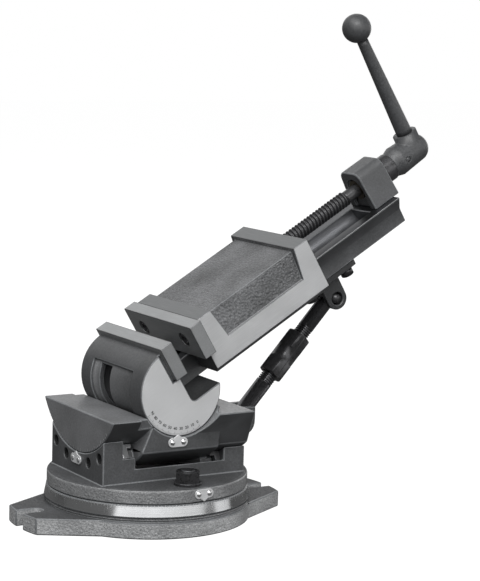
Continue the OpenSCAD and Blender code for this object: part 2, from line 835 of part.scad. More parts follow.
module rocker_saddle() {
    color("#47494c") difference() {
        union() {
            below_horn_top(far) lean_disc(left_horn_r, -horn_reach, -horn_inner_x);
            below_horn_top(core_w / 2) lean_disc(left_horn_r, -horn_inner_x - eps, 0);
            intersection() {
                lean_disc(core_r, -core_left, core_right);
                along_y(-core_w / 2, core_w / 2) core_outline();
            }
            intersection() {
                lean_disc(right_horn_r, right_horn_from, horn_reach);
                along_x(right_horn_from, horn_reach) right_horn_outline();
            }
            rocker_feet();
            on_both_ears() along_y(-ear_t / 2, ear_t / 2) lower_ear_outline();
        }
        translate([0, 0, drum_z]) rod_y(2 * seat_r, -far, far);
        translate([0, drum_slot_y, 0]) {
            cylinder(d = tilt_bolt_d, h = drum_z);
            cylinder(d = tilt_pocket_d, h = tilt_seat_z);
        }
        translate([strut_foot_x, 0, strut_foot_z]) rod_y(lower_pin_d, -far, far);
        at_tilt_index() index_rivet_holes();
    }
}

// The head of the tilt clamp bolt is curved to slide round the drum's T-slot, and fits through its mouth
module tilt_clamp_bolt() {
    head_half = drum_head_w / 2 - drill_gap;
    neck_half = drum_slot_w / 2 - run_gap;
    neck_end = drum_r - run_gap;
    color("#3a3b3d") translate([0, drum_slot_y, drum_z]) {
        along_y(-head_half, head_half) intersection() {
            difference() {
                circle(head_out_r - run_gap);
                circle(head_in_r + run_gap);
            }
            translate([-neck_half, -drum_r]) square([2 * neck_half, drum_r]);
        }
        translate([-neck_half, -neck_half, -neck_end])
            cube([2 * neck_half, 2 * neck_half, neck_end - head_in_r - drum_head_h / 2]);
        translate([0, 0, tilt_nut_z - 2 - drum_z]) cylinder(d = tilt_bolt_d, h = drum_z - head_out_r - tilt_nut_z + 2);
    }
}

module tilt_clamp_washer() {
    color("#8f9194") translate([0, drum_slot_y, tilt_seat_z - tilt_washer_t]) difference() {
        cylinder(d = washer_ratio * tilt_bolt_d, h = tilt_washer_t);
        translate([0, 0, -1]) cylinder(d = tilt_bolt_d, h = tilt_washer_t + 2);
    }
}

module tilt_clamp_nut() {
    color("#3a3b3d") translate([0, drum_slot_y, tilt_nut_z]) hex_nut(tilt_bolt_d, tilt_nut_h);
}

module tilt_index_plate() {
    color("#cfd1d2") at_tilt_index() index_plate();
}

module tilt_index_rivets() {
    color("#e2e3e4") at_tilt_index() index_rivets();
}

module strut_lower_pin() {
    color("#9a9c9e") translate([strut_foot_x, 0, strut_foot_z]) rod_y(lower_pin_d, -ear_out, ear_out);
}

// Vise body

// The bed seen along its length: dovetail edges above a narrower neck
module bed_outline() {
    top = bed_w / 2;
    neck = bed_neck_w / 2;
    polygon([[-top, bed_top], [top, bed_top], [top, bed_top - bed_land], [neck, bed_top - dovetail_h],
             [neck, bed_bottom], [-neck, bed_bottom], [-neck, bed_top - dovetail_h], [-top, bed_top - bed_land]]);
}

// The space for the plates above the bed, and the notch that the moving jaw's sides close into
module jaw_space_outline() {
    translate([0, bed_top]) square(far);
    translate([notch_x + notch_round, bed_bottom]) square(far);
    translate([notch_x, bed_bottom + notch_round]) square(far);
    translate([notch_x + notch_round, bed_bottom + notch_round]) circle(notch_round);
}

// A turned cut round the drum between two angles, from an outline of radius and -Y
module drum_groove(from, to) {
    rotate([90, 0, 0]) rotate([0, 0, from]) rotate_extrude(angle = to - from) children();
}

module drum_slot_outline() {
    translate([head_out_r - eps, -drum_slot_y - drum_slot_w / 2]) square([drum_lip + 1, drum_slot_w]);
    translate([head_in_r, -drum_slot_y - drum_head_w / 2]) square([drum_head_h, drum_head_w]);
}

// The wide opening at the lower end of the T-slot, where the bolt's head goes in
module drum_slot_mouth() {
    mouth_w = drum_head_w + 2 * mouth_ease;
    rotate([90, 0, 0]) rotate([0, 0, mouth_angle])
        translate([head_in_r - mouth_ease, -drum_slot_w / 2, -drum_slot_y - mouth_w / 2])
            cube([drum_r, drum_slot_w, mouth_w]);
}

module at_jaw_screws() {
    for (side = [-1, 1]) translate([0, side * jaw_screw_gap / 2, jaw_screw_z]) children();
}

// The fixed jaw's screws run towards -X, and the moving jaw's towards +X
module at_fixed_screws() {
    at_jaw_screws() mirror([1, 0, 0]) translate([-jaw_screw_seat, 0, 0]) children();
}

module at_moving_screws() {
    translate([moving_x - jaw_screw_seat, 0, 0]) at_jaw_screws() children();
}

module jaw_screw_hole() {
    socket_hole(jaw_screw_d, jaw_screw_seat + jaw_screw_grip, far);
}

module at_bracket_screws() {
    for (side = [-1, 1]) translate([bracket_screw_x, side * bracket_screw_y, bed_bottom + bracket_head_deep])
        rotate([0, -90, 0]) children();
}

module at_pad_screws() {
    for (end = [-1, 1], side = [-1, 1])
        translate([strut_head_x + end * pad_screw_x, side * pad_screw_y, pad_z]) rotate([0, -90, 0]) children();
}

module bracket_screw_hole() {
    socket_hole(bracket_screw_d, bed_h - bracket_head_deep + bracket_screw_deep, bracket_head_deep + 1);
}

// The relief between the rim at the dial and the rim at the far end
module relief_outline() {
    translate([drum_r - relief_depth, -drum_back + back_rim_w])
        square([drum_r, drum_back - back_rim_w + dial_y - dial_rim_w]);
}

module vise_body() {
    color("#55575a") in_vise() difference() {
        union() {
            difference() {
                rod_y(2 * drum_r, -dial_y, drum_back);
                along_y(-far, far) jaw_space_outline();
                translate([-edge_rebate, -dial_y - 1, bed_top]) cube([far, edge_rebate + 1, drum_r]);
            }
            along_x(-notch_x, bed_end) bed_outline();
        }
        translate([0, 0, bed_top + 1]) rod_x(2 * channel_r, channel_start, bracket_x - 4);
        drum_groove(drum_slot_from, drum_slot_to) drum_slot_outline();
        drum_slot_mouth();
        drum_groove(drum_slot_from - relief_past, drum_slot_to + relief_past) relief_outline();
        at_fixed_screws() rod_x(jaw_screw_d, 0, jaw_screw_seat + jaw_screw_grip);
        at_bracket_screws() bracket_screw_hole();
        at_pad_screws() rod_x(pad_screw_d, 0, pad_t + pad_screw_deep);
    }
}

module jaw_plate(from) {
    translate([from, -jaw_w / 2, plate_bottom]) cube([jaw_plate_t, jaw_w, jaw_plate_h]);
}

module fixed_jaw_plate() {
    color("#8b8d8f") in_vise() difference() {
        jaw_plate(0);
        at_fixed_screws() jaw_screw_hole();
    }
}

module fixed_jaw_screws() {
    color("#2b2c2e") in_vise() at_fixed_screws() socket_screw(jaw_screw_d, jaw_screw_seat + jaw_screw_grip);
}

// The screw bracket seen along the screw: tapered sides and a round top
module bracket_outline() {
    intersection() {
        polygon([[-bracket_w / 2, bed_top], [bracket_w / 2, bed_top],
                 [bracket_top_w / 2, screw_z + bracket_round], [-bracket_top_w / 2, screw_z + bracket_round]]);
        union() {
            translate([0, screw_z]) circle(bracket_round);
            translate([-bracket_w / 2, bed_top]) square([bracket_w, screw_h]);
        }
    }
}

module arch_outline() {
    translate([0, screw_z]) circle(arch_half);
    translate([-arch_half, bed_top - 1]) square([2 * arch_half, screw_h + 1]);
}

module screw_bracket() {
    color("#55575a") in_vise() difference() {
        along_x(bracket_x, bracket_to) bracket_outline();
        along_x(bracket_x - 1, bracket_x + arch_depth) arch_outline();
        translate([0, 0, screw_z]) rod_x(bush_d, bracket_x - 1, bracket_to + 1);
        at_bracket_screws() bracket_screw_hole();
    }
}

module bracket_screws() {
    color("#2b2c2e") in_vise() at_bracket_screws()
        socket_screw(bracket_screw_d, bed_h - bracket_head_deep + bracket_screw_deep);
}

module bearing_bush() {
    color("#a8864a") in_screw() difference() {
        rod_x(bush_d, bracket_x + 1, bracket_to);
        rod_x(journal_d + 2 * pin_gap, bracket_x - 1, bracket_to + 1);
    }
}

module upper_ear_outline() {
    translate([strut_head_x, -strut_head_drop]) circle(upper_ear_r);
    translate([strut_head_x - upper_ear_r, -strut_head_drop])
        square([2 * upper_ear_r, strut_head_drop + pad_z + 1]);
}

module strut_bracket() {
    color("#4a4c4f") in_vise() difference() {
        union() {
            translate([pad_x, -pad_w / 2, pad_z]) cube([pad_len, pad_w, pad_t]);
            on_both_ears() along_y(-ear_t / 2, ear_t / 2) upper_ear_outline();
        }
        translate([strut_head_x, 0, -strut_head_drop]) rod_y(upper_hole_d, -far, far);
        at_pad_screws() rod_x(pad_screw_d, -1, pad_t + 1);
    }
}

module strut_bracket_screws() {
    color("#2b2c2e") in_vise() at_pad_screws() socket_screw(pad_screw_d, pad_t + pad_screw_deep);
}

// Moving jaw

// The machined frame seen from the side is open between the front wall and the rear bar
module side_recess_outline() {
    polygon([[recess_from, moving_top + 1], [recess_from, moving_top], [recess_from + recess_lean, band_top],
             [recess_to - recess_lean, band_top], [recess_to, moving_top], [recess_to, moving_top + 1]]);
}

// The moving jaw seen along the bed, up to a height, with chamfered lower edges
module jaw_outline(top) {
    half = moving_w / 2;
    polygon([[-half, top], [half, top], [half, skirt_bottom + skirt_chamfer], [half - skirt_chamfer, skirt_bottom],
             [-half + skirt_chamfer, skirt_bottom], [-half, skirt_bottom + skirt_chamfer]]);
}

// The cast middle seen along the bed
module cast_outline() {
    foot = moving_w / 2 - cast_step;
    top = foot - cast_lean;
    polygon([[-foot, bed_top], [foot, bed_top], [foot, band_top], [top, cast_top], [-top, cast_top], [-foot, band_top]]);
}

// The guide in the moving jaw: the bed's dovetail with room for the gib on the far side
module guide_outline() {
    near_top = bed_w / 2 + guide_gap;
    near_neck = bed_neck_w / 2 + guide_gap;
    polygon([[-near_top, bed_top + guide_gap], [near_top + gib_t, bed_top + guide_gap],
             [near_top + gib_t, bed_top - bed_land], [near_neck + gib_t, bed_top - dovetail_h],
             [near_neck + gib_t, skirt_bottom - 1], [-near_neck, skirt_bottom - 1],
             [-near_neck, bed_top - dovetail_h], [-near_top, bed_top - bed_land]]);
}

// The hollow under the cast top that the screw's free end runs in
module screw_hollow_outline() {
    translate([0, screw_z]) circle(screw_d / 2 + 1);
    translate([-hollow_half, bed_top - 1]) square([2 * hollow_half, screw_h + 1]);
}

module at_gib_screws() {
    for (step = [-1, 0, 1]) translate([moving_x + moving_len / 2 + step * gib_screw_gap, 0, gib_screw_z]) children();
}

module moving_jaw() {
    color("#5b5d60") in_vise() difference() {
        union() {
            difference() {
                along_x(moving_x, moving_end) jaw_outline(moving_top);
                along_y(-far, far) side_recess_outline();
            }
            along_x(moving_x - jaw_ledge, moving_x + eps) jaw_outline(bed_top);
            along_x(recess_from - 1, recess_to + 1) cast_outline();
        }
        along_x(moving_x - jaw_ledge - 1, moving_end + 1) guide_outline();
        along_x(recess_from + 3, moving_end - nut_len) screw_hollow_outline();
        translate([0, 0, screw_z]) rod_x(nut_d, moving_end - nut_len - eps, moving_end + 1);
        at_moving_screws() rod_x(jaw_screw_d, 0, jaw_screw_seat + jaw_screw_grip);
        at_gib_screws() rod_y(gib_screw_d, bed_neck_w / 2, far);
    }
}

module moving_jaw_plate() {
    color("#8b8d8f") in_vise() difference() {
        jaw_plate(moving_plate_x);
        at_moving_screws() jaw_screw_hole();
    }
}

module moving_jaw_screws() {
    color("#2b2c2e") in_vise() at_moving_screws() socket_screw(jaw_screw_d, jaw_screw_seat + jaw_screw_grip);
}

module lead_nut() {
    color("#a8864a") in_screw() difference() {
        rod_x(nut_d, moving_end - nut_len, moving_end);
        rod_x(screw_d + 2 * pin_gap, moving_end - nut_len - 1, moving_end + 1);
    }
}

module gib_outline() {
    top = bed_w / 2 + guide_gap;
    neck = bed_neck_w / 2 + guide_gap;
    gib_top = bed_top - guide_gap;
    polygon([[top, gib_top], [top + gib_t, gib_top], [top + gib_t, bed_top - bed_land],
             [neck + gib_t, bed_top - dovetail_h], [neck + gib_t, skirt_bottom], [neck, skirt_bottom],
             [neck, bed_top - dovetail_h], [top, bed_top - bed_land]]);
}

module gib_strip() {
    color("#9a9c9e") in_vise() along_x(moving_x + gib_inset, moving_end - gib_inset) gib_outline();
}

// The gib screws press on the sloping back of the gib
module gib_screws() {
    color("#2b2c2e") in_vise() at_gib_screws() rod_y(gib_screw_d, gib_screw_y, moving_w / 2 - 1);
}

// Screw and crank

module lead_screw() {
    thread_end = bracket_x + 1 - run_gap;
    chamfer = 1.5;
    color("#3a3b3d") in_screw() difference() {
        union() {
            rod_x(screw_d, screw_tip + chamfer, thread_end);
            translate([screw_tip, 0, 0]) rotate([0, 90, 0])
                cylinder(d1 = screw_d - 2 * chamfer, d2 = screw_d, h = chamfer + eps);
            rod_x(journal_d, thread_end - eps, hub_x + spigot_len);
        }
        translate([hub_pin_x, 0, 0]) rod_y(hub_pin_d, -far, far);
    }
}

module thrust_collar() {
    color("#3a3b3d") in_screw() difference() {
        rod_x(collar_d, collar_x, hub_x);
        rod_x(journal_d, collar_x - 1, hub_x + 1);
        translate([collar_x + collar_len / 2, 0, 0]) rod_y(set_screw_d, 0, far);
    }
}

module collar_set_screw() {
    color("#2b2c2e") in_screw() translate([collar_x + collar_len / 2, 0, 0])
        rod_y(set_screw_d, journal_d / 2, collar_d / 2 - 0.5);
}

// The hub seen along Y: a neck, a flare, a body and a round end
module hub_outline() {
    end_r = hub_d / 2 - 1;
    polygon([[0, 0], [hub_neck_d / 2, 0], [hub_neck_d / 2, 1], [hub_d / 2, hub_flare],
             [end_r, hub_len - hub_round], [0, hub_len - hub_round]]);
    intersection() {
        translate([end_r - hub_round, hub_len - hub_round]) circle(hub_round);
        square([hub_d, hub_len]);
    }
    square([end_r - hub_round, hub_len]);
}

module crank_hub() {
    color("#4a4c4f") in_screw() difference() {
        union() {
            translate([hub_x, 0, 0]) rotate([0, 90, 0]) rotate_extrude() hub_outline();
            translate([crank_x, 0, 0]) cylinder(d = arm_boss_d, h = arm_boss_h);
        }
        rod_x(journal_d, hub_x - 1, hub_x + spigot_len);
        translate([crank_x, 0, 0]) cylinder(d = arm_shank_d, h = far);
        translate([hub_pin_x, 0, 0]) rod_y(hub_pin_d, -far, far);
    }
}

module hub_pin() {
    pin_half = hub_d / 2 - 0.4;
    color("#9a9c9e") in_screw() translate([hub_pin_x, 0, 0]) rod_y(hub_pin_d, -pin_half, pin_half);
}

// The arm tapers to the ball, with a shank in the hub and a spigot in the ball
module crank_arm() {
    shank_z = journal_d / 2 + 1;
    color("#4a4c4f") in_screw() translate([crank_x, 0, 0]) {
        translate([0, 0, shank_z]) cylinder(d = arm_shank_d, h = arm_boss_h - shank_z + eps);
        translate([0, 0, arm_boss_h]) cylinder(d1 = arm_d, d2 = arm_end_d, h = ball_flat_z - arm_boss_h);
        translate([0, 0, ball_flat_z - eps]) cylinder(d = arm_spigot_d, h = arm_spigot_len);
    }
}

module crank_ball() {
    color("#2b2c2e") in_screw() translate([crank_x, 0, 0]) difference() {
        translate([0, 0, crank_radius]) sphere(d = ball_d);
        translate([-ball_d, -ball_d, ball_flat_z - ball_d]) cube([2 * ball_d, 2 * ball_d, ball_d]);
        translate([0, 0, ball_flat_z - 1]) cylinder(d = arm_spigot_d, h = arm_spigot_len + 1);
    }
}

// Strut

module rod_eye(x) {
    translate([x, 0, 0]) rod_y(2 * eye_r, -eye_t / 2, eye_t / 2);
}

module strut_lower_rod() {
    color("#3a3b3d") in_strut() difference() {
        union() {
            rod_eye(0);
            rod_x(rod_d, 0, sleeve_start + lower_grip);
        }
        rod_y(lower_pin_d + 2 * pin_gap, -far, far);
    }
}

module turnbuckle_sleeve() {
    corner_r = sleeve_af / 2 / cos(30);
    chamfer = corner_r - sleeve_af / 2;
    waist_from = (sleeve_len - waist_len) / 2;
    waist_to = (sleeve_len + waist_len) / 2;
    color("#333436") in_strut() difference() {
        intersection() {
            translate([sleeve_start, 0, 0]) rotate([0, 90, 0]) cylinder(r = corner_r, h = sleeve_len, $fn = 6);
            translate([sleeve_start, 0, 0]) rotate([0, 90, 0]) rotate_extrude()
                polygon([[0, 0], [sleeve_af / 2, 0], [corner_r + eps, chamfer],
                         [corner_r + eps, waist_from - chamfer], [sleeve_af / 2, waist_from],
                         [sleeve_af / 2, waist_to], [corner_r + eps, waist_to + chamfer],
                         [corner_r + eps, sleeve_len - chamfer], [sleeve_af / 2, sleeve_len], [0, sleeve_len]]);
        }
        rod_x(rod_d + 2 * pin_gap, sleeve_start - 1, sleeve_end + 1);
    }
}

module strut_upper_rod() {
    color("#3a3b3d") in_strut() difference() {
        union() {
            rod_eye(strut_len);
            rod_x(rod_d, sleeve_end - upper_grip, strut_len);
        }
        translate([strut_len, 0, 0]) rod_y(upper_pin_d, -far, far);
    }
}

module strut_upper_pin() {
    color("#c3c5c7") in_strut() translate([strut_len, 0, 0]) rod_y(upper_pin_d, -ear_out, ear_out);
}

base_casting();
swivel_pivot_pin();
swivel_table();
lean_keeper_left();
lean_keeper_right();
lean_keeper_screws();
swivel_clamp_bolts();
swivel_clamp_washers();
swivel_clamp_nuts();
swivel_index_plate();
swivel_index_rivets();
lean_index_plate();
lean_index_rivets();
rocker_saddle();
tilt_clamp_bolt();
tilt_clamp_washer();
tilt_clamp_nut();
tilt_index_plate();
tilt_index_rivets();
strut_lower_pin();
vise_body();
fixed_jaw_plate();
fixed_jaw_screws();
screw_bracket();
bracket_screws();
bearing_bush();
strut_bracket();
strut_bracket_screws();
moving_jaw();
moving_jaw_plate();
moving_jaw_screws();
lead_nut();
gib_strip();
gib_screws();
lead_screw();
thrust_collar();
collar_set_screw();
crank_hub();
hub_pin();
crank_arm();
crank_ball();
strut_lower_rod();
turnbuckle_sleeve();
strut_upper_rod();
strut_upper_pin();
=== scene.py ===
# %% [markdown]
# # A three-axis machine vise
# The imported solids already have their true size and place. This lesson dresses them: it rounds the edges of the
# castings, cuts the threads, marks the scales and gives each piece a finish, with painted light and shade in some
# of its colours.
# Everything is in metres, and a size in millimetres is multiplied by MM. Only the rules that pick a finish
# for a face measure in millimetres.

# %% Load the imported vise
import json
import math
from functools import partial

import bmesh
import bpy
from mathutils import Matrix, Vector


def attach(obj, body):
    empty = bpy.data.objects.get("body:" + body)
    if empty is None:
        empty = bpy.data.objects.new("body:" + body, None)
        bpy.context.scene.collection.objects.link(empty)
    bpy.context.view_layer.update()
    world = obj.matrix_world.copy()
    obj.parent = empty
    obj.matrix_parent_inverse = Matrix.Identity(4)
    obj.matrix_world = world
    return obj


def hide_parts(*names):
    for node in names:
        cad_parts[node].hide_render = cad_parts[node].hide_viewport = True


MM = 0.001
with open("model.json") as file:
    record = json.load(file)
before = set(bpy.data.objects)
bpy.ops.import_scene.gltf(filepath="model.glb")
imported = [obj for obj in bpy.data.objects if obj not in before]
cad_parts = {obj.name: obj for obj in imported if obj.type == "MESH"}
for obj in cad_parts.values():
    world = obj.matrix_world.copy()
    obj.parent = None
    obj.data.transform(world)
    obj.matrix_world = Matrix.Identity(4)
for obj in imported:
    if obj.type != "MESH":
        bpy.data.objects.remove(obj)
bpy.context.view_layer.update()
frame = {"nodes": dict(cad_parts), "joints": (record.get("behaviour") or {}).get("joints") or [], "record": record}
solids = frame["nodes"]
joints = {joint["name"]: joint for joint in frame["joints"]}
carried = frame["record"]["behaviour"]["bodies"]
body_of = {node: body for body, nodes in carried.items() for node in nodes}
slot_of = {part["node"]: part["material_slot"] for part in frame["record"]["subparts"]}

# %% [markdown]
# ## Directions
# The bed is tilted, and the strut leans. Their joints say along which lines they move, so each gets a frame
# of its own: X along the line, Y across the vise. Sizes along the bed can then be used as they were drawn.

# %% Frames of the bed, the screw and the strut
UPRIGHT = Matrix.Identity(4)


def axes_at(place, line):
    """A frame at one joint's place, with X along another joint's line and Y across the vise."""
    x = Vector(joints[line]["axis"]).normalized()
    y = Vector((0, 1, 0))
    turned = Matrix((x, y, x.cross(y))).transposed().to_4x4()
    return Matrix.Translation(joints[place]["pos_m"]) @ turned


def corners(points):
    """The lowest and the highest corner of the box round some points."""
    low = Vector([min(point[i] for point in points) for i in range(3)])
    high = Vector([max(point[i] for point in points) for i in range(3)])
    return low, high


def span(node, axes=UPRIGHT):
    """The lowest and the highest corner of a node, measured in a frame."""
    inverse = axes.inverted()
    return corners([inverse @ vertex.co for vertex in solids[node].data.vertices])


bed_axes = axes_at("tilt", "jaw_slide")
screw_axes = axes_at("screw_turn", "screw_turn")
strut_axes = axes_at("strut_swing", "strut_stroke")
print("bed tilt", round(math.degrees(math.atan2(bed_axes[2][0], bed_axes[0][0])), 2), "degrees")

# %% [markdown]
# ## Camera
# It stands in front of the dial, a little to its left and above it, far away with a long lens, as for a
# catalogue picture. A camera could be aimed with a constraint, but this one also rolls a little, so its
# place and its three directions are set as one matrix.

# %% Camera
SENSOR = 36.0
PHOTO_HEIGHT = 581
FOCAL_PIXELS = 2000
VIEW_AZIMUTH = -31
VIEW_ELEVATION = 7.88
VIEW_ROLL = math.radians(1.53)
VIEW_PLACE = Vector((-679.7, -1255.7, 363.7)) * MM


def object_with(data, name):
    """A new object in the scene."""
    thing = bpy.data.objects.new(name, data)
    bpy.context.scene.collection.objects.link(thing)
    return thing


def outward(azimuth, elevation):
    """The direction from the vise to what stands round it, in degrees. Azimuth 0 is in front of the dial."""
    a = math.radians(azimuth)
    e = math.radians(elevation)
    return Vector((math.sin(a) * math.cos(e), -math.cos(a) * math.cos(e), math.sin(e)))


right = outward(VIEW_AZIMUTH + 90, 0)
back = outward(VIEW_AZIMUTH, VIEW_ELEVATION)
up = back.cross(right)
facing = Matrix((right, up, back)).transposed().to_4x4()
camera = object_with(bpy.data.cameras.new("camera"), "camera")
camera.data.sensor_width = SENSOR
camera.data.lens = FOCAL_PIXELS * SENSOR / PHOTO_HEIGHT
camera.matrix_world = Matrix.Translation(VIEW_PLACE) @ facing @ Matrix.Rotation(VIEW_ROLL, 4, "Z")
bpy.context.scene.camera = camera
print("lens", round(camera.data.lens, 1), "mm")

# %% [markdown]
# ## Floor and light
# The vise stands on white paper in a white room. Both print white to the camera but give the vise only a dim
# light. Its bright faces show six soft boxes: a wide low one in front, a narrow one at the right, a fill
# beyond it, a key and a top light above, and one at the back. The dark gap between the first two is the dark
# stripe on the turned ring. One function adds every node, and another turns sRGB colours to linear light.

# %% Colours, nodes and materials
MATH = "ShaderNodeMath"
VECTOR = "ShaderNodeCombineXYZ"
NOISE = "ShaderNodeTexNoise"


def linear(hex_colour):
    """An sRGB hex colour as linear red, green, blue and alpha."""
    channels = [int(hex_colour[i:i + 2], 16) / 255 for i in (1, 3, 5)]
    return [c / 12.92 if c <= 0.04045 else ((c + 0.055) / 1.055) ** 2.4 for c in channels] + [1.0]


def add(tree, kind, inputs=(), **settings):
    """A node with its settings. Inputs come by name or in order: values, sockets, or nodes for their first
    output."""
    node = tree.nodes.new(kind)
    for name, value in settings.items():
        setattr(node, name, value)
    if isinstance(inputs, tuple):
        inputs = dict(enumerate(inputs))
    for socket, value in inputs.items():
        if isinstance(value, bpy.types.Node):
            value = value.outputs[0]
        if isinstance(value, bpy.types.NodeSocket):
            tree.links.new(value, node.inputs[socket])
        else:
            node.inputs[socket].default_value = value
    return node


def started(name, **sockets):
    """A new material, its tree and its shader, with the shader's constant sockets set."""
    material = bpy.data.materials.new(name)
    material.use_nodes = True
    shader = material.node_tree.nodes["Principled BSDF"]
    for socket, value in sockets.items():
        shader.inputs[socket.replace("_", " ")].default_value = value
    return material, material.node_tree, shader


# %% Floor and light
HALF_FLOOR = 6.0
ROOM_LIGHT = 0.2
PAPER_GLOW = 0.97
AIM = Vector((0.06, 0, 0.15))
WHITE = linear("#ffffff")
# Name, azimuth and elevation in degrees, distance, width and height in metres, and watts
SOFT_BOXES = (
    ("front_box", -13, 17, 2.0, 4.9, 1.0, 27),
    ("right_box", 63, 11, 2.0, 0.92, 1.2, 4.5),
    ("fill_box", 125, 12, 2.2, 2.4, 1.2, 12),
    ("key_box", -25, 46, 2.0, 1.6, 0.8, 30),
    ("top_box", -75, 62, 2.0, 1.8, 1.4, 22),
    ("back_box", 172, 34, 2.4, 3.0, 1.6, 12),
)

floor_mesh = bpy.data.meshes.new("floor")
signs = ((-1, -1), (1, -1), (1, 1), (-1, 1))
floor_mesh.from_pydata([(x * HALF_FLOOR, y * HALF_FLOOR, 0) for x, y in signs], [], [(0, 1, 2, 3)])
floor = object_with(floor_mesh, "floor")
# Matt white studio paper, which glows so that it prints white, with a faint shadow where the vise stands
paper, paper_tree, paper_shader = started("white_studio_paper", Roughness=0.95, Specular_IOR_Level=0.0,
                                          Base_Color=linear("#606060"), Emission_Color=WHITE)
seen = add(paper_tree, "ShaderNodeLightPath").outputs["Is Camera Ray"]
glow = add(paper_tree, MATH, (seen, PAPER_GLOW), operation="MULTIPLY")
paper_tree.links.new(glow.outputs[0], paper_shader.inputs["Emission Strength"])
floor.data.materials.append(paper)

for name, azimuth, elevation, distance, width, height, watts in SOFT_BOXES:
    away = outward(azimuth, elevation)
    light = object_with(bpy.data.lights.new(name, "AREA"), name)
    light.data.shape = "RECTANGLE"
    light.data.size = width
    light.data.size_y = height
    light.data.energy = watts
    light.location = AIM + away * distance
    light.rotation_euler = away.to_track_quat("Z", "Y").to_euler()

world = bpy.data.worlds.new("studio")
world.use_nodes = True
room = world.node_tree.nodes["Background"]
seen = add(world.node_tree, "ShaderNodeLightPath").outputs["Is Camera Ray"]
wall = add(world.node_tree, "ShaderNodeMapRange", {"Value": seen, "To Min": ROOM_LIGHT, "To Max": 1.0})
world.node_tree.links.new(wall.outputs["Result"], room.inputs["Strength"])
room.inputs["Color"].default_value = WHITE
bpy.context.scene.world = world
bpy.context.scene.view_settings.view_transform = "Standard"
print(len(SOFT_BOXES), "soft boxes")

# %% [markdown]
# ## Painted castings
# Base, swivel table, rocker and vise body are grey iron castings under machine enamel. Sand leaves a fine
# pebbled skin that the paint softens. One recipe serves all of them: a noise of the grain's real width
# raises the skin, a wider one shifts the colour a little, and the grain also breaks up the gloss.

# %% Enamel over sand-cast iron
CLOUD_MM = 28
PEBBLES_TO_GRAIN = 0.6


def surfaced(tree, shader, tones, patches, ramp, sheen, sheen_range, roughness, relief=None):
    """The end of every finish: patches blend its two tones along a ramp, sheen spreads its roughness, and
    relief is its Bump node."""
    tone = add(tree, "ShaderNodeValToRGB", {"Fac": patches})
    for element, place, colour in zip(tone.color_ramp.elements, ramp, tones):
        element.position = place
        element.color = linear(colour)
    matt = add(tree, "ShaderNodeMapRange", (sheen, *sheen_range, *roughness))
    for socket, node in (("Base Color", tone), ("Roughness", matt), ("Normal", relief)):
        if node:
            tree.links.new(node.outputs[0], shader.inputs[socket])


def cast_enamel(name, dark, pale, grain_mm, relief_mm, roughness, coat=0.15):
    """Machine enamel on a sand casting: satin, with the mould's grain showing through."""
    material, tree, shader = started(name, Coat_Weight=coat, Coat_Roughness=0.25)
    place = add(tree, "ShaderNodeTexCoord").outputs["Object"]
    fine = 1 / (grain_mm * MM)
    grain = add(tree, NOISE, {"Vector": place, "Scale": fine, "Detail": 3.0})
    pebbles = add(tree, "ShaderNodeTexVoronoi", {"Vector": place, "Scale": PEBBLES_TO_GRAIN * fine})
    clouds = add(tree, NOISE, {"Vector": place, "Scale": 1 / (CLOUD_MM * MM), "Detail": 4.0})
    skin = add(tree, MATH, (grain, pebbles), operation="ADD")
    shift = add(tree, MATH, (clouds, grain), operation="MULTIPLY")
    bump = add(tree, "ShaderNodeBump", {"Height": skin, "Distance": relief_mm * MM, "Strength": 1.0})
    surfaced(tree, shader, (dark, pale), patches=shift, ramp=(0.12, 0.42), sheen=skin,
             sheen_range=(0.5, 1.3), roughness=(roughness, roughness + 0.2), relief=bump)
    return material


# %% The enamels
# Filled and rubbed down: an even dark satin
smooth_enamel = cast_enamel("machine_enamel_filled_and_rubbed", "#38393a", "#4b4c4e", 1.1, 0.02, 0.4)
# The same satin, a shade paler: painted light on the rocker and on the drum's relief band
paler_lit_enamel = cast_enamel("paler_enamel_painted_light", "#545556", "#6d6e70", 1.1, 0.02, 0.4)
# Dark and dull, with a fine grain: painted shade on the tops of the base and of the table's plate
shaded_top_enamel = cast_enamel("enamel_painted_shade_on_tops", "#2c2d2e", "#48494b", 1.3, 0.25, 0.6, 0.0)
# Over a rumbled rim: middle grey, with glints on the grain
plate_enamel = cast_enamel("machine_enamel_on_rumbled_casting", "#5a5b5c", "#848586", 1.1, 0.35, 0.34)
# Paler, with more glints: painted light on the walls of the flange and the lugs
lit_wall_enamel = cast_enamel("enamel_painted_light_on_walls", "#727374", "#acadae", 1.1, 0.4, 0.34)
# On the jaw's coarse field: deep dark pebbles with pale tops
jaw_enamel = cast_enamel("machine_enamel_on_coarse_sand_casting", "#353637", "#6c6d6f", 1.25, 0.7, 0.4)
# Nearly black, with some gloss: painted shade under the bed
strut_shade_enamel = cast_enamel("enamel_painted_shade_on_strut_bracket", "#1f2021", "#2b2c2d", 1.1, 0.02, 0.5)
# Nearly black and quite matt: painted shade in the notch and in the screw holes
shade_black_enamel = cast_enamel("painted_shade_in_notch_and_holes", "#18191a", "#222324", 1.1, 0.02, 0.85, 0.0)
# A forging has no sand grain: smooth dark satin
crank_enamel = cast_enamel("satin_enamel_on_forged_crank", "#333435", "#444547", 1.4, 0.015, 0.38)
# A pale line along each edge: paint rubbed thin, and a painted highlight
worn_and_highlit_edge_enamel = cast_enamel("enamel_rubbed_thin_and_painted_highlight_on_edges", "#56585a", "#707274", 1.1, 0.02, 0.36)
print(len(bpy.data.materials) - 1, "enamels")

# %% [markdown]
# ## Machined iron and steel
# Where a face guides or measures, the maker cuts it bare. A planer or a grinding wheel leaves fine parallel
# lines, a lathe leaves rings. Both are the same noise, stretched: along one direction for planing, and round
# the axis for turning. The lines are finer than a pixel on the real vise, so they are drawn about three
# times as wide. Oil and dirt dull some of the faces, so these aren't fully metallic.

# %% Bare metal with tool lines
STAIN_MM = 20
LINE_DEPTH = 0.01 * MM
ALONG_X = (0.03, 1, 1)
ALONG_Y = (1, 0.03, 1)
EVEN = (1, 1, 1)


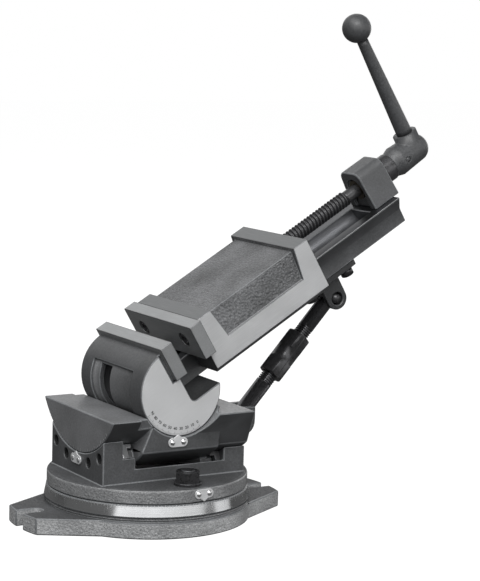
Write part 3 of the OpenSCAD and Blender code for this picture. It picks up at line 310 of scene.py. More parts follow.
def cut_metal(name, dark, pale, roughness, line_mm, stretch, axes=UPRIGHT, metallic=1.0, round_axis=False):
    """Bare metal with the lines of the tool that cut it, along the direction with the smallest stretch."""
    material, tree, shader = started(name, Metallic=metallic)
    place = add(tree, "ShaderNodeTexCoord").outputs["Object"]
    lines_at = add(tree, "ShaderNodeMapping", {"Vector": place, "Location": axes.to_translation(),
                                               "Rotation": axes.to_euler()}, vector_type="TEXTURE")
    if round_axis:
        flat = add(tree, "ShaderNodeVectorMath", (lines_at, (1, 1, 0)), operation="MULTIPLY")
        radius = add(tree, "ShaderNodeVectorMath", (flat,), operation="LENGTH").outputs["Value"]
        height = add(tree, "ShaderNodeSeparateXYZ", (lines_at,)).outputs["Z"]
        lines_at = add(tree, VECTOR, {"X": radius, "Z": height})
    scaled = add(tree, "ShaderNodeVectorMath", (lines_at, stretch), operation="MULTIPLY")
    lines = add(tree, NOISE, {"Vector": scaled, "Scale": 1 / (line_mm * MM), "Detail": 2.0})
    clouds = add(tree, NOISE, {"Vector": place, "Scale": 1 / (STAIN_MM * MM), "Detail": 5.0})
    blend = add(tree, MATH, (lines, clouds), operation="MULTIPLY")
    bump = add(tree, "ShaderNodeBump", {"Height": lines, "Distance": LINE_DEPTH, "Strength": 0.5})
    surfaced(tree, shader, (dark, pale), patches=blend, ramp=(0.1, 0.45), sheen=clouds,
             sheen_range=(0.3, 0.7), roughness=(roughness - 0.05, roughness + 0.06), relief=bump)
    return material


# %% The bare metals
# Planed along the bed: pale and matt
planed_iron = cut_metal("planed_grey_iron_sides", "#b8b9ba", "#c6c7c8", 0.5, 0.5, ALONG_X, bed_axes, 0.6)
# Milled across the bed: middle grey with a soft shine
milled_iron = cut_metal("milled_grey_iron_tops", "#787a7b", "#8a8b8c", 0.45, 0.5, ALONG_Y, bed_axes)
# Scraped and oiled: dark grey with a wet shine
scraped_bed = cut_metal("scraped_bed_ways", "#545557", "#66676a", 0.36, 0.6, ALONG_X, bed_axes)
# Ground across: even middle grey
ground_plate = cut_metal("ground_steel_jaw_plate", "#858687", "#989a9b", 0.36, 0.4, ALONG_Y, bed_axes, 0.5)
# Ground bar stock: pale, with a clear shine
ground_bar = cut_metal("ground_steel_bar", "#8f9192", "#b0b1b3", 0.3, 0.4, ALONG_Y)
# Faced and left dry: the palest face of all
dial_iron = cut_metal("faced_dial_iron", "#c8c9ca", "#cfd0d1", 0.52, 0.4, ALONG_X, bed_axes, 0.6)
# Turned and polished: it mirrors the soft boxes as bright bands
turned_ring = cut_metal("turned_and_polished_ring", "#b0b1b2", "#c2c3c4", 0.17, 0.9, EVEN, round_axis=True)
# Bored and oiled: dark with a dull shine
seat_iron = cut_metal("bored_seat_iron", "#4d4e50", "#626365", 0.42, 0.5, ALONG_Y)
# Rubbed to the bare metal: a bright line
bright_edge = cut_metal("edge_rubbed_bright", "#a9aaab", "#c2c3c4", 0.35, 0.8, EVEN)
# Broken with a file: a grey line, and on the bed's outer edges a painted highlight
filed_and_highlit_edge = cut_metal("edge_filed_and_painted_highlight", "#6f7071", "#858687", 0.5, 0.8, EVEN)
# Dark and oiled: turned slides, and painted shade on faces turned down
oil_and_shade_iron = cut_metal("oiled_slides_and_painted_shade", "#3a3b3c", "#4a4b4d", 0.42, 0.5, ALONG_Y, metallic=0.3)
# Rolled sheet: pale and silky
index_sheet = cut_metal("rolled_aluminium_sheet", "#c2c3c4", "#d4d5d6", 0.42, 0.3, ALONG_X, metallic=0.4)
# Rivet heads: small bright points
rivet_metal = cut_metal("bright_rivet_aluminium", "#d6d7d8", "#ececed", 0.22, 0.5, EVEN)
# Bronze, brown-grey and darkened as painted shade of the bush and the lead nut
bronze = cut_metal("bronze_darkened_as_painted_shade", "#4d463c", "#655c4f", 0.42, 0.4, EVEN)
# Scale lines, cut through the paint to bright iron
scale_paint = cut_metal("bright_cut_scale_lines", "#b9babb", "#d2d3d4", 0.4, 0.5, EVEN)
print(len(bpy.data.materials), "materials so far")

# %% [markdown]
# ## Black steel
# Screws, nuts, the strut and the lead screw are steel, blackened in a hot salt bath and oiled. The layer is
# thin and dark, it still shines like metal under the oil, and it wears a little grey where hands and
# spanners touch it.

# %% Black oxide
MARK_MM = 2.5


def black_oxide(name, dark, pale, roughness, metallic=0.55):
    """Blackened and oiled steel: dark, with a soft metallic shine and faint handling marks."""
    material, tree, shader = started(name, Metallic=metallic)
    place = add(tree, "ShaderNodeTexCoord").outputs["Object"]
    marks = add(tree, NOISE, {"Vector": place, "Scale": 1 / (MARK_MM * MM), "Detail": 5.0})
    surfaced(tree, shader, (dark, pale), patches=marks, ramp=(0.35, 0.75), sheen=marks,
             sheen_range=(0.3, 0.7), roughness=(roughness - 0.03, roughness + 0.05))
    return material


# %% The black steels
# Freshly oiled: dark grey with a clear shine
oiled_black = black_oxide("oiled_black_oxide_steel", "#3f3f40", "#4d4d4f", 0.3)
# Drawn rod is smoother, so its highlights run long and sharp
oiled_rod = black_oxide("oiled_black_drawn_rod", "#565658", "#656567", 0.2, 0.8)
# Fasteners: nearly black
dry_black = black_oxide("black_oxide_fasteners", "#323233", "#404042", 0.28)
# Worn at the edges: the steel begins to show
worn_black = black_oxide("black_oxide_worn_at_edges", "#3e3f41", "#5a5b5d", 0.34)
# Lines etched into the dial: dark and dull
scale_ink = black_oxide("etched_dial_lines", "#2c2d2e", "#3c3d3f", 0.5)
print(len(bpy.data.materials), "materials in all")

# %% [markdown]
# ## Rounded edges
# No casting or milled block has a knife edge. Each large piece is a copy of its solid, with the loose triangles
# merged and its flat faces joined, and a Bevel modifier rounds the sharp edges. An edge only gets as much as the
# faces beside it have room for. The rounded faces take a finish of their own, mostly a paler one: paint rubbed
# thin there first, and a painted highlight along the edge. A rule for each piece then says which face was painted
# and which was cut.

# %% Edit a mesh and seat a piece
MERGE = 0.002 * MM


def merged(*meshes, distance=MERGE):
    """Meshes joined for editing, with points that lie together made one."""
    shape = bmesh.new()
    for mesh in meshes:
        shape.from_mesh(mesh)
    bmesh.ops.remove_doubles(shape, verts=shape.verts, dist=distance)
    return shape


def kept(shape, name):
    """What was edited, as a plain mesh."""
    mesh = bpy.data.meshes.new(name)
    shape.to_mesh(mesh)
    shape.free()
    return mesh


def frozen(piece):
    """The piece with its modifiers applied, as a plain mesh on the same object."""
    graph = bpy.context.evaluated_depsgraph_get()
    mesh = bpy.data.meshes.new_from_object(piece.evaluated_get(graph))
    piece.modifiers.clear()
    piece.data = mesh
    return piece


def seated(piece, body):
    """Says which body a piece rides on."""
    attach(piece, body)
    print(piece.name, len(piece.data.polygons), "faces")


def in_place_of(node, piece):
    """Seats a piece that stands for a solid."""
    seated(piece, body_of[node])
    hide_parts(node)
    return piece


# %% Copy a solid and round it
FLAT = math.radians(0.6)
SHARP = math.radians(28)
SMOOTH = math.radians(50)
ROUNDED_SHARE = 0.35


def reach(face, edge):
    """How far a face extends away from one of its edges."""
    start = edge.verts[0].co
    line = (edge.verts[1].co - start).normalized()
    offsets = [vertex.co - start for vertex in face.verts]
    return max((offset - line * offset.dot(line)).length for offset in offsets)


def rounding_share(edge, width):
    """The share of the wanted rounding that the two faces beside an edge have room for."""
    if len(edge.link_faces) != 2 or edge.calc_face_angle(0) < SHARP:
        return 0
    return min(1, ROUNDED_SHARE * min(reach(face, edge) for face in edge.link_faces) / width)


def dressed(node, rounding_mm, edge_finish, finish, axes=UPRIGHT, mesh=None, fillets=True):
    """A copy of a solid with rounded edges. Its finish is one for all faces, or a rule that picks it from a
    face's middle and normal. Without fillets the inner corners stay sharp."""
    shape = merged(mesh or solids[node].data)
    bmesh.ops.dissolve_limit(shape, angle_limit=FLAT, verts=shape.verts, edges=shape.edges)
    shares = shape.edges.layers.float.new("bevel_weight_edge")
    inverse = axes.inverted()
    turn = inverse.to_3x3()
    finishes = [edge_finish]
    for edge in shape.edges:
        if fillets or edge.is_convex:
            edge[shares] = rounding_share(edge, rounding_mm * MM)
    for face in shape.faces:
        picked = finish
        if callable(finish):
            picked = finish(inverse @ face.calc_center_median() / MM, turn @ face.normal)
        if picked not in finishes:
            finishes.append(picked)
        face.material_index = finishes.index(picked)
        face.smooth = True
    mesh = kept(shape, node)
    for used in finishes:
        mesh.materials.append(used)
    mesh.set_sharp_from_angle(angle=SMOOTH)
    piece = object_with(mesh, node + "_dressed")
    bevel = piece.modifiers.new("rounding", "BEVEL")
    bevel.width = rounding_mm * MM
    bevel.segments = 2
    bevel.limit_method = "WEIGHT"
    bevel.use_clamp_overlap = False
    bevel.material = 0
    piece.modifiers.new("flat_faces_stay_flat", "WEIGHTED_NORMAL").keep_sharp = True
    return in_place_of(node, frozen(piece))


def polish_edges(piece, axes, finish, wanted):
    """Gives another finish to those rounded edges whose middle a rule picks."""
    inverse = axes.inverted()
    piece.data.materials.append(finish)
    count = 0
    for face in piece.data.polygons:
        if face.material_index == 0 and wanted(inverse @ face.center / MM):
            face.material_index = len(piece.data.materials) - 1
            count += 1
    print(piece.name, count, "edge faces with a finish of their own")


# %% Tell the solids of a mesh apart


def islands(mesh):
    """The separate solids of a mesh, each as a list of its points, in the same order on every run."""
    shape = merged(mesh)
    left = dict.fromkeys(shape.verts)
    groups = []
    while left:
        todo = [left.popitem()[0]]
        group = []
        while todo:
            vertex = todo.pop()
            group.append(vertex.co.copy())
            for edge in vertex.link_edges:
                other = edge.other_vert(vertex)
                if other in left:
                    del left[other]
                    todo.append(other)
        groups.append(group)
    shape.free()
    return groups


def box_of(points):
    """The middle and the size of the box round some points."""
    low, high = corners(points)
    return (low + high) / 2, high - low


# %% [markdown]
# ## The base and the swivel table
# The base is one casting: a flange with two lugs, and above it a ring that was turned bright and marked in
# degrees. The table over it is painted all round, and only the arcs that the rocker leans in were bored. The holes
# of the keeper screws are painted near black, as their shade.

# %% Base and swivel table
# A face looks along an axis when its normal has more than LOOKS of it, and lies along it with less than LIES
LOOKS = 0.9
LIES = 0.1
STEEP = 0.5
RING_FOOT = 14.9
RING_TOP = 24.05
RING_R = 72.9
TOP_SLACK = 0.2
PLATE_TOP = 34.9
PLATE_SLACK = 1
PLATE_SLOPE = 0.7
STRAIGHT_IN = 0.97
HOLE_WALL = 0.8
HOLE_RIM = 2.5
lean_z = joints["lean"]["pos_m"][2] / MM
keeper_screws = [box_of(points) for points in islands(solids["lean_keeper_screws"].data)]


def base_finish(middle, normal):
    """The ring is bright and its top milled. The walls are painted paler as light, and the tops darker as shade.
    """
    wall = abs(normal.z) < STEEP
    if wall and RING_FOOT < middle.z < RING_TOP and math.hypot(middle.x, middle.y) > RING_R:
        return turned_ring
    if normal.z > LOOKS and middle.z > RING_TOP - TOP_SLACK:
        return milled_iron
    return lit_wall_enamel if wall else shaded_top_enamel


def beside_screw(middle, gap_mm):
    """Whether a place lies within a gap round one of the keeper screws, on the screw's end of the table."""
    return any((middle - place / MM).yz.length < extent.y / 2 / MM + gap_mm and middle.x * place.x > 0
               for place, extent in keeper_screws)


def table_finish(middle, normal):
    """The holes are painted near black as their shade, the plate's tops darker as shade, the arcs that look
    straight at the lean axis bored, and the rest painted.
    """
    lies_along = abs(normal.x) < LIES
    if lies_along and beside_screw(middle, HOLE_WALL):
        return shade_black_enamel
    from_lean = Vector((middle.y, middle.z - lean_z)).normalized()
    if lies_along and -normal.yz.dot(from_lean) > STRAIGHT_IN and middle.z > PLATE_TOP:
        return seat_iron
    # The plate's tops take the darker enamel, as painted shade
    if normal.z > PLATE_SLOPE and middle.z < PLATE_TOP + PLATE_SLACK:
        return shaded_top_enamel
    return smooth_enamel if middle.z > PLATE_TOP else plate_enamel


dressed("base_casting", 1.0, worn_and_highlit_edge_enamel, base_finish)
swivel_table = dressed("swivel_table", 0.9, worn_and_highlit_edge_enamel, table_finish)
polish_edges(swivel_table, UPRIGHT, smooth_enamel, lambda middle: beside_screw(middle, HOLE_RIM))

# %% [markdown]
# ## The rocker and the vise body
# The rocker is painted: darker on its front faces and paler on the rest, as painted shade and light, and dark
# where it faces down, oiled where its arcs slide on the table and painted shade beneath. The vise body has the
# most kinds of face: the dial was faced bright, the ways of the bed were scraped, the notch is painted near black
# as its shade, the undersides are dark as oiled slides and painted shade, and the rest is paint, paler on the
# relief band as painted light. Its inner corners stay sharp, because a bolt's head slides in its slot.

# %% Rocker and vise body
SLIDE_TURN = 0.2
FRONT_TURN = 0.6
DRUM_R = 32.0
RELIEF_R = 30.0
RELIEF_SLACK = 0.4
DIAL_Y = -47
NOTCH_X = 3.9
CHANNEL_X = 15
CHANNEL_Z = 10.0
CHANNEL_R = 13.3
WAYS_X = 5
WAYS_Z = 8
UNDERSIDE = 0.3
BED_EDGE_X = 40
BED_EDGE_Y = 22


def rocker_finish(middle, normal):
    """Faces turned down are dark: oiled where the arcs slide on the table, and painted shade beneath. Front faces
    keep the darker satin and the rest take the paler copy: painted shade and light.
    """
    if normal.z < -SLIDE_TURN and abs(normal.x) < SLIDE_TURN:
        return oil_and_shade_iron
    return smooth_enamel if normal.y < -FRONT_TURN else paler_lit_enamel


def body_finish(middle, normal):
    """Measured from the drum's axis, with X along the bed."""
    from_axis = math.hypot(middle.x, middle.z)
    lies_across = abs(normal.y) < LIES
    if normal.y < -LOOKS and from_axis < DRUM_R and middle.y < DIAL_Y:
        return dial_iron
    in_channel = middle.x > CHANNEL_X and math.hypot(middle.y, middle.z - CHANNEL_Z) < CHANNEL_R
    if in_channel or (normal.z > LOOKS and middle.x > WAYS_X and middle.z > WAYS_Z):
        return scraped_bed
    # The notch is painted near black, as its shade
    if lies_across and from_axis < DRUM_R and middle.x > NOTCH_X:
        return shade_black_enamel
    # Faces turned down under the bed are dark: oiled slides, and painted shade
    if normal.z < -UNDERSIDE and middle.x > DRUM_R:
        return oil_and_shade_iron
    # The relief band takes the paler copy, as painted light
    return paler_lit_enamel if lies_across and abs(from_axis - RELIEF_R) < RELIEF_SLACK else smooth_enamel


def on_bed_edge(middle):
    return middle.x > BED_EDGE_X and middle.z > WAYS_Z and abs(middle.y) > BED_EDGE_Y


dressed("rocker_saddle", 0.9, worn_and_highlit_edge_enamel, rocker_finish)
vise_body = dressed("vise_body", 0.7, worn_and_highlit_edge_enamel, body_finish, bed_axes, fillets=False)
# The bed's outer edges get a paler line: a painted highlight
polish_edges(vise_body, bed_axes, filed_and_highlit_edge, on_bed_edge)

# %% [markdown]
# ## The moving jaw
# Its frame was planed bright all round, and the middle was left as it came from the sand, painted over. That
# rough field between the smooth bars is what the eye remembers of this vise. The plates that grip the work
# are ground steel, and the bracket for the strut is a small casting under the bed.

# %% Moving jaw, jaw plates and strut bracket
FIELD_X = (48.9, 129.1)
FIELD_Z = (11.9, 33.6)
JAW_HALF_W = 44.8
JAW_TOP = 35.8
FIELD_INSET = 1
FIELD_LIFT = 3


def jaw_finish(middle, normal):
    """The sides were planed and the bars' tops milled. The field between them is rough."""
    if abs(normal.y) > LOOKS and abs(middle.y) > JAW_HALF_W:
        return planed_iron
    if normal.z > LOOKS and middle.z > JAW_TOP:
        return milled_iron
    in_field = FIELD_X[0] < middle.x < FIELD_X[1] and FIELD_Z[0] < middle.z < FIELD_Z[1]
    return jaw_enamel if in_field else smooth_enamel


def on_field_edge(middle):
    inside = FIELD_X[0] + FIELD_INSET < middle.x < FIELD_X[1] - FIELD_INSET
    return inside and FIELD_Z[0] + FIELD_LIFT < middle.z < JAW_TOP - FIELD_INSET


moving_jaw = dressed("moving_jaw", 0.5, filed_and_highlit_edge, jaw_finish, bed_axes)
polish_edges(moving_jaw, bed_axes, worn_and_highlit_edge_enamel, on_field_edge)
# The strut bracket is painted nearly black, as its shade under the bed
dressed("strut_bracket", 0.8, crank_enamel, strut_shade_enamel, bed_axes)
for plate in ("fixed_jaw_plate", "moving_jaw_plate"):
    dressed(plate, 0.5, filed_and_highlit_edge, ground_plate, bed_axes)

# %% [markdown]
# ## The screw bracket
# The solid has a round top. On the real casting the top is flat and only its corners are round, so the
# bracket is drawn again from its outline, with the same width, height and length. The keyhole recess and the
# bore are cut out of it.

# %% Screw bracket
TOP_HALF = 12.5 * MM
CORNER_R = 7 * MM
RECESS_R = 9.5 * MM
RECESS_DEPTH = 2 * MM
CORNER_STEPS = 8
RECESS_STEPS = 24
BORE_SIDES = 60
bracket_low, bracket_high = span("screw_bracket", bed_axes)
bush_low, bush_high = span("bearing_bush", bed_axes)
screw_z = (bush_low.z + bush_high.z) / 2
bush_r = (bush_high.z - bush_low.z) / 2


def arc(y, z, radius, first, last, steps):
    """Points on a circle, from one angle to another in degrees."""
    angles = [math.radians(first + (last - first) * i / steps) for i in range(steps + 1)]
    return [(y + radius * math.cos(angle), z + radius * math.sin(angle)) for angle in angles]


def prism(name, outline, low, high):
    """A bar along the bed with an outline of (y, z) points."""
    shape = bmesh.new()
    face = shape.faces.new([shape.verts.new((low, y, z)) for y, z in outline])
    extruded = bmesh.ops.extrude_face_region(shape, geom=[face])["geom"]
    far_end = [thing for thing in extruded if isinstance(thing, bmesh.types.BMVert)]
    bmesh.ops.translate(shape, verts=far_end, vec=(high - low, 0, 0))
    bmesh.ops.recalc_face_normals(shape, faces=shape.faces)
    shape.transform(bed_axes)
    return object_with(kept(shape, name), name)


lean_in = math.degrees(math.atan2(bracket_high.y - TOP_HALF, bracket_high.z - bracket_low.z))
corner_y = TOP_HALF - CORNER_R / math.tan(math.radians(90 + lean_in) / 2)
shoulder = arc(corner_y, bracket_high.z - CORNER_R, CORNER_R, lean_in, 90, CORNER_STEPS)
outline = [(bracket_high.y, bracket_low.z)] + shoulder
outline += [(-y, z) for y, z in reversed(outline)]
block = prism("screw_bracket_block", outline, bracket_low.x, bracket_high.x)
recess = arc(0, screw_z, RECESS_R, 0, 180, RECESS_STEPS)
recess += [(-RECESS_R, bracket_low.z - MM), (RECESS_R, bracket_low.z - MM)]
bore = arc(0, screw_z, bush_r, 0, 360 - 360 / BORE_SIDES, BORE_SIDES - 1)
cutters = [prism("recess", recess, bracket_low.x - MM, bracket_low.x + RECESS_DEPTH),
           prism("bore", bore, bracket_low.x - MM, bracket_high.x + MM)]
for cutter in cutters:
    cut = block.modifiers.new(cutter.name, "BOOLEAN")
    cut.object = cutter
    cut.solver = "EXACT"
frozen(block)
dressed("screw_bracket", 1.0, worn_and_highlit_edge_enamel, smooth_enamel, bed_axes, block.data)
for helper in cutters + [block]:
    bpy.data.objects.remove(helper)

# %% [markdown]
# ## Collar, bolts, keepers and index plates
# Small blocks need no rule: each has one finish and a broken edge. The left keeper's ground end shows in the
# trough, and the index plates are so thin that their edges only lose their sharpness.

# %% Collar, bolts, keepers and index plates
dressed("thrust_collar", 0.8, worn_black, oiled_black)
dressed("swivel_clamp_bolts", 0.8, worn_black, dry_black)
dressed("swivel_clamp_washers", 0.3, worn_black, dry_black)
dressed("lean_keeper_left", 0.3, bright_edge, ground_bar)
dressed("lean_keeper_right", 0.3, worn_black, oiled_black)
for plate in ("swivel_index_plate", "lean_index_plate", "tilt_index_plate"):
    dressed(plate, 0.15, index_sheet, index_sheet)

# %% [markdown]
# ## Crank and turnbuckle
# The crank is a forging without a straight edge, and the turnbuckle is turned from hexagon bar. A bevel
# would leave spikes where their curved faces meet, so the solids are copied and only shaded smooth. The
# shading stops at sharp edges, so the sleeve keeps its six flats, its end chamfers and its waist.

# %% Crank and turnbuckle, shaded smooth


def smoothed(piece, angle=SMOOTH):
    """Faces outwards, and smooth shading that stops at edges sharper than an angle."""
    shape = merged(piece.data)
    bmesh.ops.recalc_face_normals(shape, faces=shape.faces)
    shape.to_mesh(piece.data)
    shape.free()
    piece.data.shade_smooth()
    piece.data.set_sharp_from_angle(angle=angle)
    return piece


def refined(node, finish, angle=SMOOTH):
    """A copy of a round solid whose facets are shaded as one curved face."""
    piece = object_with(solids[node].data.copy(), node + "_smooth")
    piece.data.materials.clear()
    piece.data.materials.append(finish)
    in_place_of(node, smoothed(piece, angle))


for node in ("crank_hub", "crank_arm", "crank_ball", "hub_pin"):
    refined(node, crank_enamel)
refined("strut_upper_pin", oiled_black)
refined("turnbuckle_sleeve", oiled_black, SHARP)

# %% [markdown]
# ## Trees of Geometry Nodes
# Threads, scale lines, nuts and sockets repeat by a rule, so each is a tree of Geometry Nodes with its sizes
# as named inputs. The tree is run once, and what it made is kept as a plain mesh, because an exported model
# can't carry the rule. An input is set by its identifier, because two sockets may have the same name.

# %% Start a tree, end it and run it


def started_tree(name, *numbers, **others):
    """A tree with named inputs for geometry, numbers, other kinds and a finish. It comes with its inputs by
    name and with add for this tree."""
    kinds = dict.fromkeys(numbers, "Float") | others | {"finish": "Material"}
    tree = bpy.data.node_groups.new(name, "GeometryNodeTree")
    tree.interface.new_socket("Geometry", in_out="INPUT", socket_type="NodeSocketGeometry")
    for label, kind in kinds.items():
        tree.interface.new_socket(label, in_out="INPUT", socket_type="NodeSocket" + kind)
    tree.interface.new_socket("Geometry", in_out="OUTPUT", socket_type="NodeSocketGeometry")
    return tree, add(tree, "NodeGroupInput").outputs, partial(add, tree)


def ended(tree, made, material):
    """The last nodes of every tree: real faces instead of instances, and the finish."""
    real = add(tree, "GeometryNodeRealizeInstances", (made,))
    painted = add(tree, "GeometryNodeSetMaterial", {0: real, "Material": material})
    add(tree, "NodeGroupOutput", (painted,))
    print(tree.name, "has", len(tree.nodes), "nodes")


def grown(name, tree, mesh=None, **values):
    """Runs a tree on a mesh, or on nothing, and keeps the result as a plain mesh."""
    piece = object_with(mesh or bpy.data.meshes.new(name), name)
    rule = piece.modifiers.new("rule", "NODES")
    rule.node_group = tree
    for socket in tree.interface.items_tree:
        if socket.in_out == "INPUT" and socket.name in values:
            rule[socket.identifier] = values[socket.name]
    return frozen(piece)


# %% [markdown]
# ## Threads
# The lead screw was cut on a lathe. A screw modifier could sweep a tooth, but its ends need trimming. Here a
# plain tube with many rings is pressed into shape instead: how far a point stands from the axis depends on
# where it lies along the screw and round it. The thread is left-handed, so that turning the crank to the
# right closes the jaw. The tube takes the place of that stretch of the solid, and a copy of the solid is cut
# off where the thread ends.

# %% The thread tree
RINGS_A_TURN = 12
THREAD_SIDES = 28
# Shares of a pitch from the middle of a crest to its end and to where the root starts
CREST_END = 0.15
ROOT_START = 0.35
# Radius of the chamfered tip as a share of the root's radius
TIP_SHARE = 0.85
thread_tree, size, put = started_tree("cut_thread", "length", "crest", "root", "pitch", "hand")
far_end = put(VECTOR, {"X": size["length"]})
line = put("GeometryNodeCurvePrimitiveLine", {"End": far_end})
turns = put(MATH, (size["length"], size["pitch"]), operation="DIVIDE")
rings = put(MATH, (turns, RINGS_A_TURN), operation="MULTIPLY")
rows = put("GeometryNodeResampleCurve", {"Curve": line, "Count": rings}, mode="COUNT")
ring = put("GeometryNodeCurvePrimitiveCircle", {"Resolution": THREAD_SIDES, "Radius": size["crest"]})
tube = put("GeometryNodeCurveToMesh", {"Curve": rows, "Profile Curve": ring, "Fill Caps": True})
point = put("GeometryNodeInputPosition")
parts = put("ShaderNodeSeparateXYZ", (point,)).outputs
angle = put(MATH, (parts["Z"], parts["Y"]), operation="ARCTAN2")
turn = put(MATH, (angle, 2 * math.pi), operation="DIVIDE")
advance = put(MATH, (parts["X"], size["pitch"]), operation="DIVIDE")
wound = put(MATH, (turn, size["hand"], advance), operation="MULTIPLY_ADD")
from_crest = put(MATH, (wound, 0.5), operation="PINGPONG")
tooth = put("ShaderNodeMapRange", (from_crest, CREST_END, ROOT_START, size["crest"], size["root"]))
chamfer = put(MATH, (size["root"], TIP_SHARE, parts["X"]), operation="MULTIPLY_ADD")
height = put(MATH, (tooth, chamfer), operation="MINIMUM")
share = put(MATH, (height, size["crest"]), operation="DIVIDE")
pull = put(VECTOR, {"X": 1.0, "Y": share, "Z": share})
pressed = put("ShaderNodeVectorMath", (point, pull), operation="MULTIPLY")
cut = put("GeometryNodeSetPosition", {"Geometry": tube, "Position": pressed})
ended(thread_tree, cut, size["finish"])

# %% Threaded lead screw and strut rods
LEFT_HAND = 1
RIGHT_HAND = -1
# Depth of a thread as a share of its pitch
THREAD_DEPTH = 0.6
SCREW_PITCH = 3 * MM
SCREW_R = 6 * MM
NECK_R = 5 * MM
NECK_LENGTH = 11 * MM
ROD_PITCH = 1.75 * MM
ROD_R = 6 * MM
ROD_THREAD = 8 * MM


def plain_stretch(node, axes, at, side):
    """A copy of a solid, cut square to its axis, that keeps the side given by +1 or -1."""
    shape = merged(solids[node].data)
    everything = shape.verts[:] + shape.edges[:] + shape.faces[:]
    bmesh.ops.bisect_plane(shape, geom=everything, plane_co=axes @ Vector((at, 0, 0)),
                           plane_no=axes.to_3x3() @ Vector((-side, 0, 0)), clear_outer=True)
    bmesh.ops.holes_fill(shape, edges=[edge for edge in shape.edges if edge.is_boundary])
    return kept(shape, node + "_plain")


def threaded(node, axes, keep_side, cut_at, stretches, pitch, hand, finish):
    """A solid that is turned anew along its axis, up to cut_at. keep_side says on which side it stays as it
    was. Each stretch is where it begins, where it ends, and its radius at the crests and at the roots."""
    meshes = []
    for low, high, crest, root in stretches:
        tube = grown(node + "_tube", thread_tree, length=high - low, crest=crest, root=root, pitch=pitch,
                     hand=hand, finish=finish)
        if keep_side < 0:
            tube.data.transform(Matrix.Translation((high - low, 0, 0)) @ Matrix.Rotation(math.pi, 4, "Z"))
        tube.data.transform(axes @ Matrix.Translation((low, 0, 0)))
        meshes.append(tube.data)
        bpy.data.objects.remove(tube)
    meshes.append(plain_stretch(node, axes, cut_at, keep_side))
    mesh = kept(merged(*meshes), node + "_threaded")
    mesh.materials.append(finish)
    in_place_of(node, smoothed(object_with(mesh, node + "_threaded")))


tip = span("lead_screw", screw_axes)[0].x
neck_start = span("screw_bracket", screw_axes)[0].x - NECK_LENGTH
bearing = span("bearing_bush", screw_axes)[0].x
thread = (tip, neck_start, SCREW_R, SCREW_R - THREAD_DEPTH * SCREW_PITCH)
neck = (neck_start - MM, bearing, NECK_R, NECK_R)
threaded("lead_screw", screw_axes, 1, bearing, [thread, neck], SCREW_PITCH, LEFT_HAND, oiled_black)

rod_root = ROD_R - THREAD_DEPTH * ROD_PITCH
sleeve_low, sleeve_high = span("turnbuckle_sleeve", strut_axes)
lower_start = sleeve_low.x - ROD_THREAD
lower = (lower_start, span("strut_lower_rod", strut_axes)[1].x, ROD_R, rod_root)
threaded("strut_lower_rod", strut_axes, -1, lower_start, [lower], ROD_PITCH, LEFT_HAND, oiled_rod)
upper_end = sleeve_high.x + ROD_THREAD
upper = (span("strut_upper_rod", strut_axes)[0].x, upper_end, ROD_R, rod_root)
threaded("strut_upper_rod", strut_axes, 1, upper_end, [upper], ROD_PITCH, RIGHT_HAND, oiled_rod)

# %% [markdown]
# ## Scales
# A vise that turns about three axes needs three scales: degrees of swivel round the base, of lean on the
# rocker's end, and of tilt on the dial. A dividing head cuts such lines one after the other, so one tree
# serves all three: it turns a fine bar step by step round an axis and makes every fourth or fifth one
# longer. Each scale is then laid on its face.

# %% The scale tree
scale_tree, size, put = started_tree("divided_scale", "first", "step", "radius", "slope", "short", "long",
                                     "long_every", "width", "height", count="Int")
index = put("GeometryNodeInputIndex")
angle = put(MATH, (index, size["step"], size["first"]), operation="MULTIPLY_ADD")
cosine = put(MATH, (angle,), operation="COSINE")
sine = put(MATH, (angle,), operation="SINE")
edge_x = put(MATH, (size["radius"], cosine), operation="MULTIPLY")
edge_y = put(MATH, (size["radius"], sine), operation="MULTIPLY")
place = put(VECTOR, {"X": edge_x, "Y": edge_y})
points = put("GeometryNodePoints", {"Count": size["count"], "Position": place})
bar = put("GeometryNodeMeshCube", {"Size": (1, 1, 1)})
hung = put("GeometryNodeTransform", {"Geometry": bar, "Translation": (-0.5, 0, 0)})
remainder = put(MATH, (index, size["long_every"]), operation="MODULO")
is_long = put(MATH, (remainder, 0, 0.5), operation="COMPARE")
longer_by = put(MATH, (size["long"], size["short"]), operation="SUBTRACT")
length = put(MATH, (is_long, longer_by, size["short"]), operation="MULTIPLY_ADD")
turn = put(VECTOR, {"Y": size["slope"], "Z": angle})
facing = put("FunctionNodeEulerToRotation", (turn,))
extent = put(VECTOR, {"X": length, "Y": size["width"], "Z": size["height"]})
lines = put("GeometryNodeInstanceOnPoints", {"Points": points, "Instance": hung, "Rotation": facing,
                                             "Scale": extent})
ended(scale_tree, lines, size["finish"])

# %% Swivel, lean and tilt scales
LINE_HEIGHT = 0.06 * MM
# The ring widens by 1.8 mm over its 9 mm of height
RING_FLARE = math.atan2(1.8, 9)


def scale_on(name, body, slot, axes, **sizes):
    """A scale laid on a face: axes has its origin on the turning axis and Z out of the face."""
    scale = grown(name, scale_tree, height=LINE_HEIGHT, **sizes)
    scale.data.transform(axes)
    seated(scale, body)


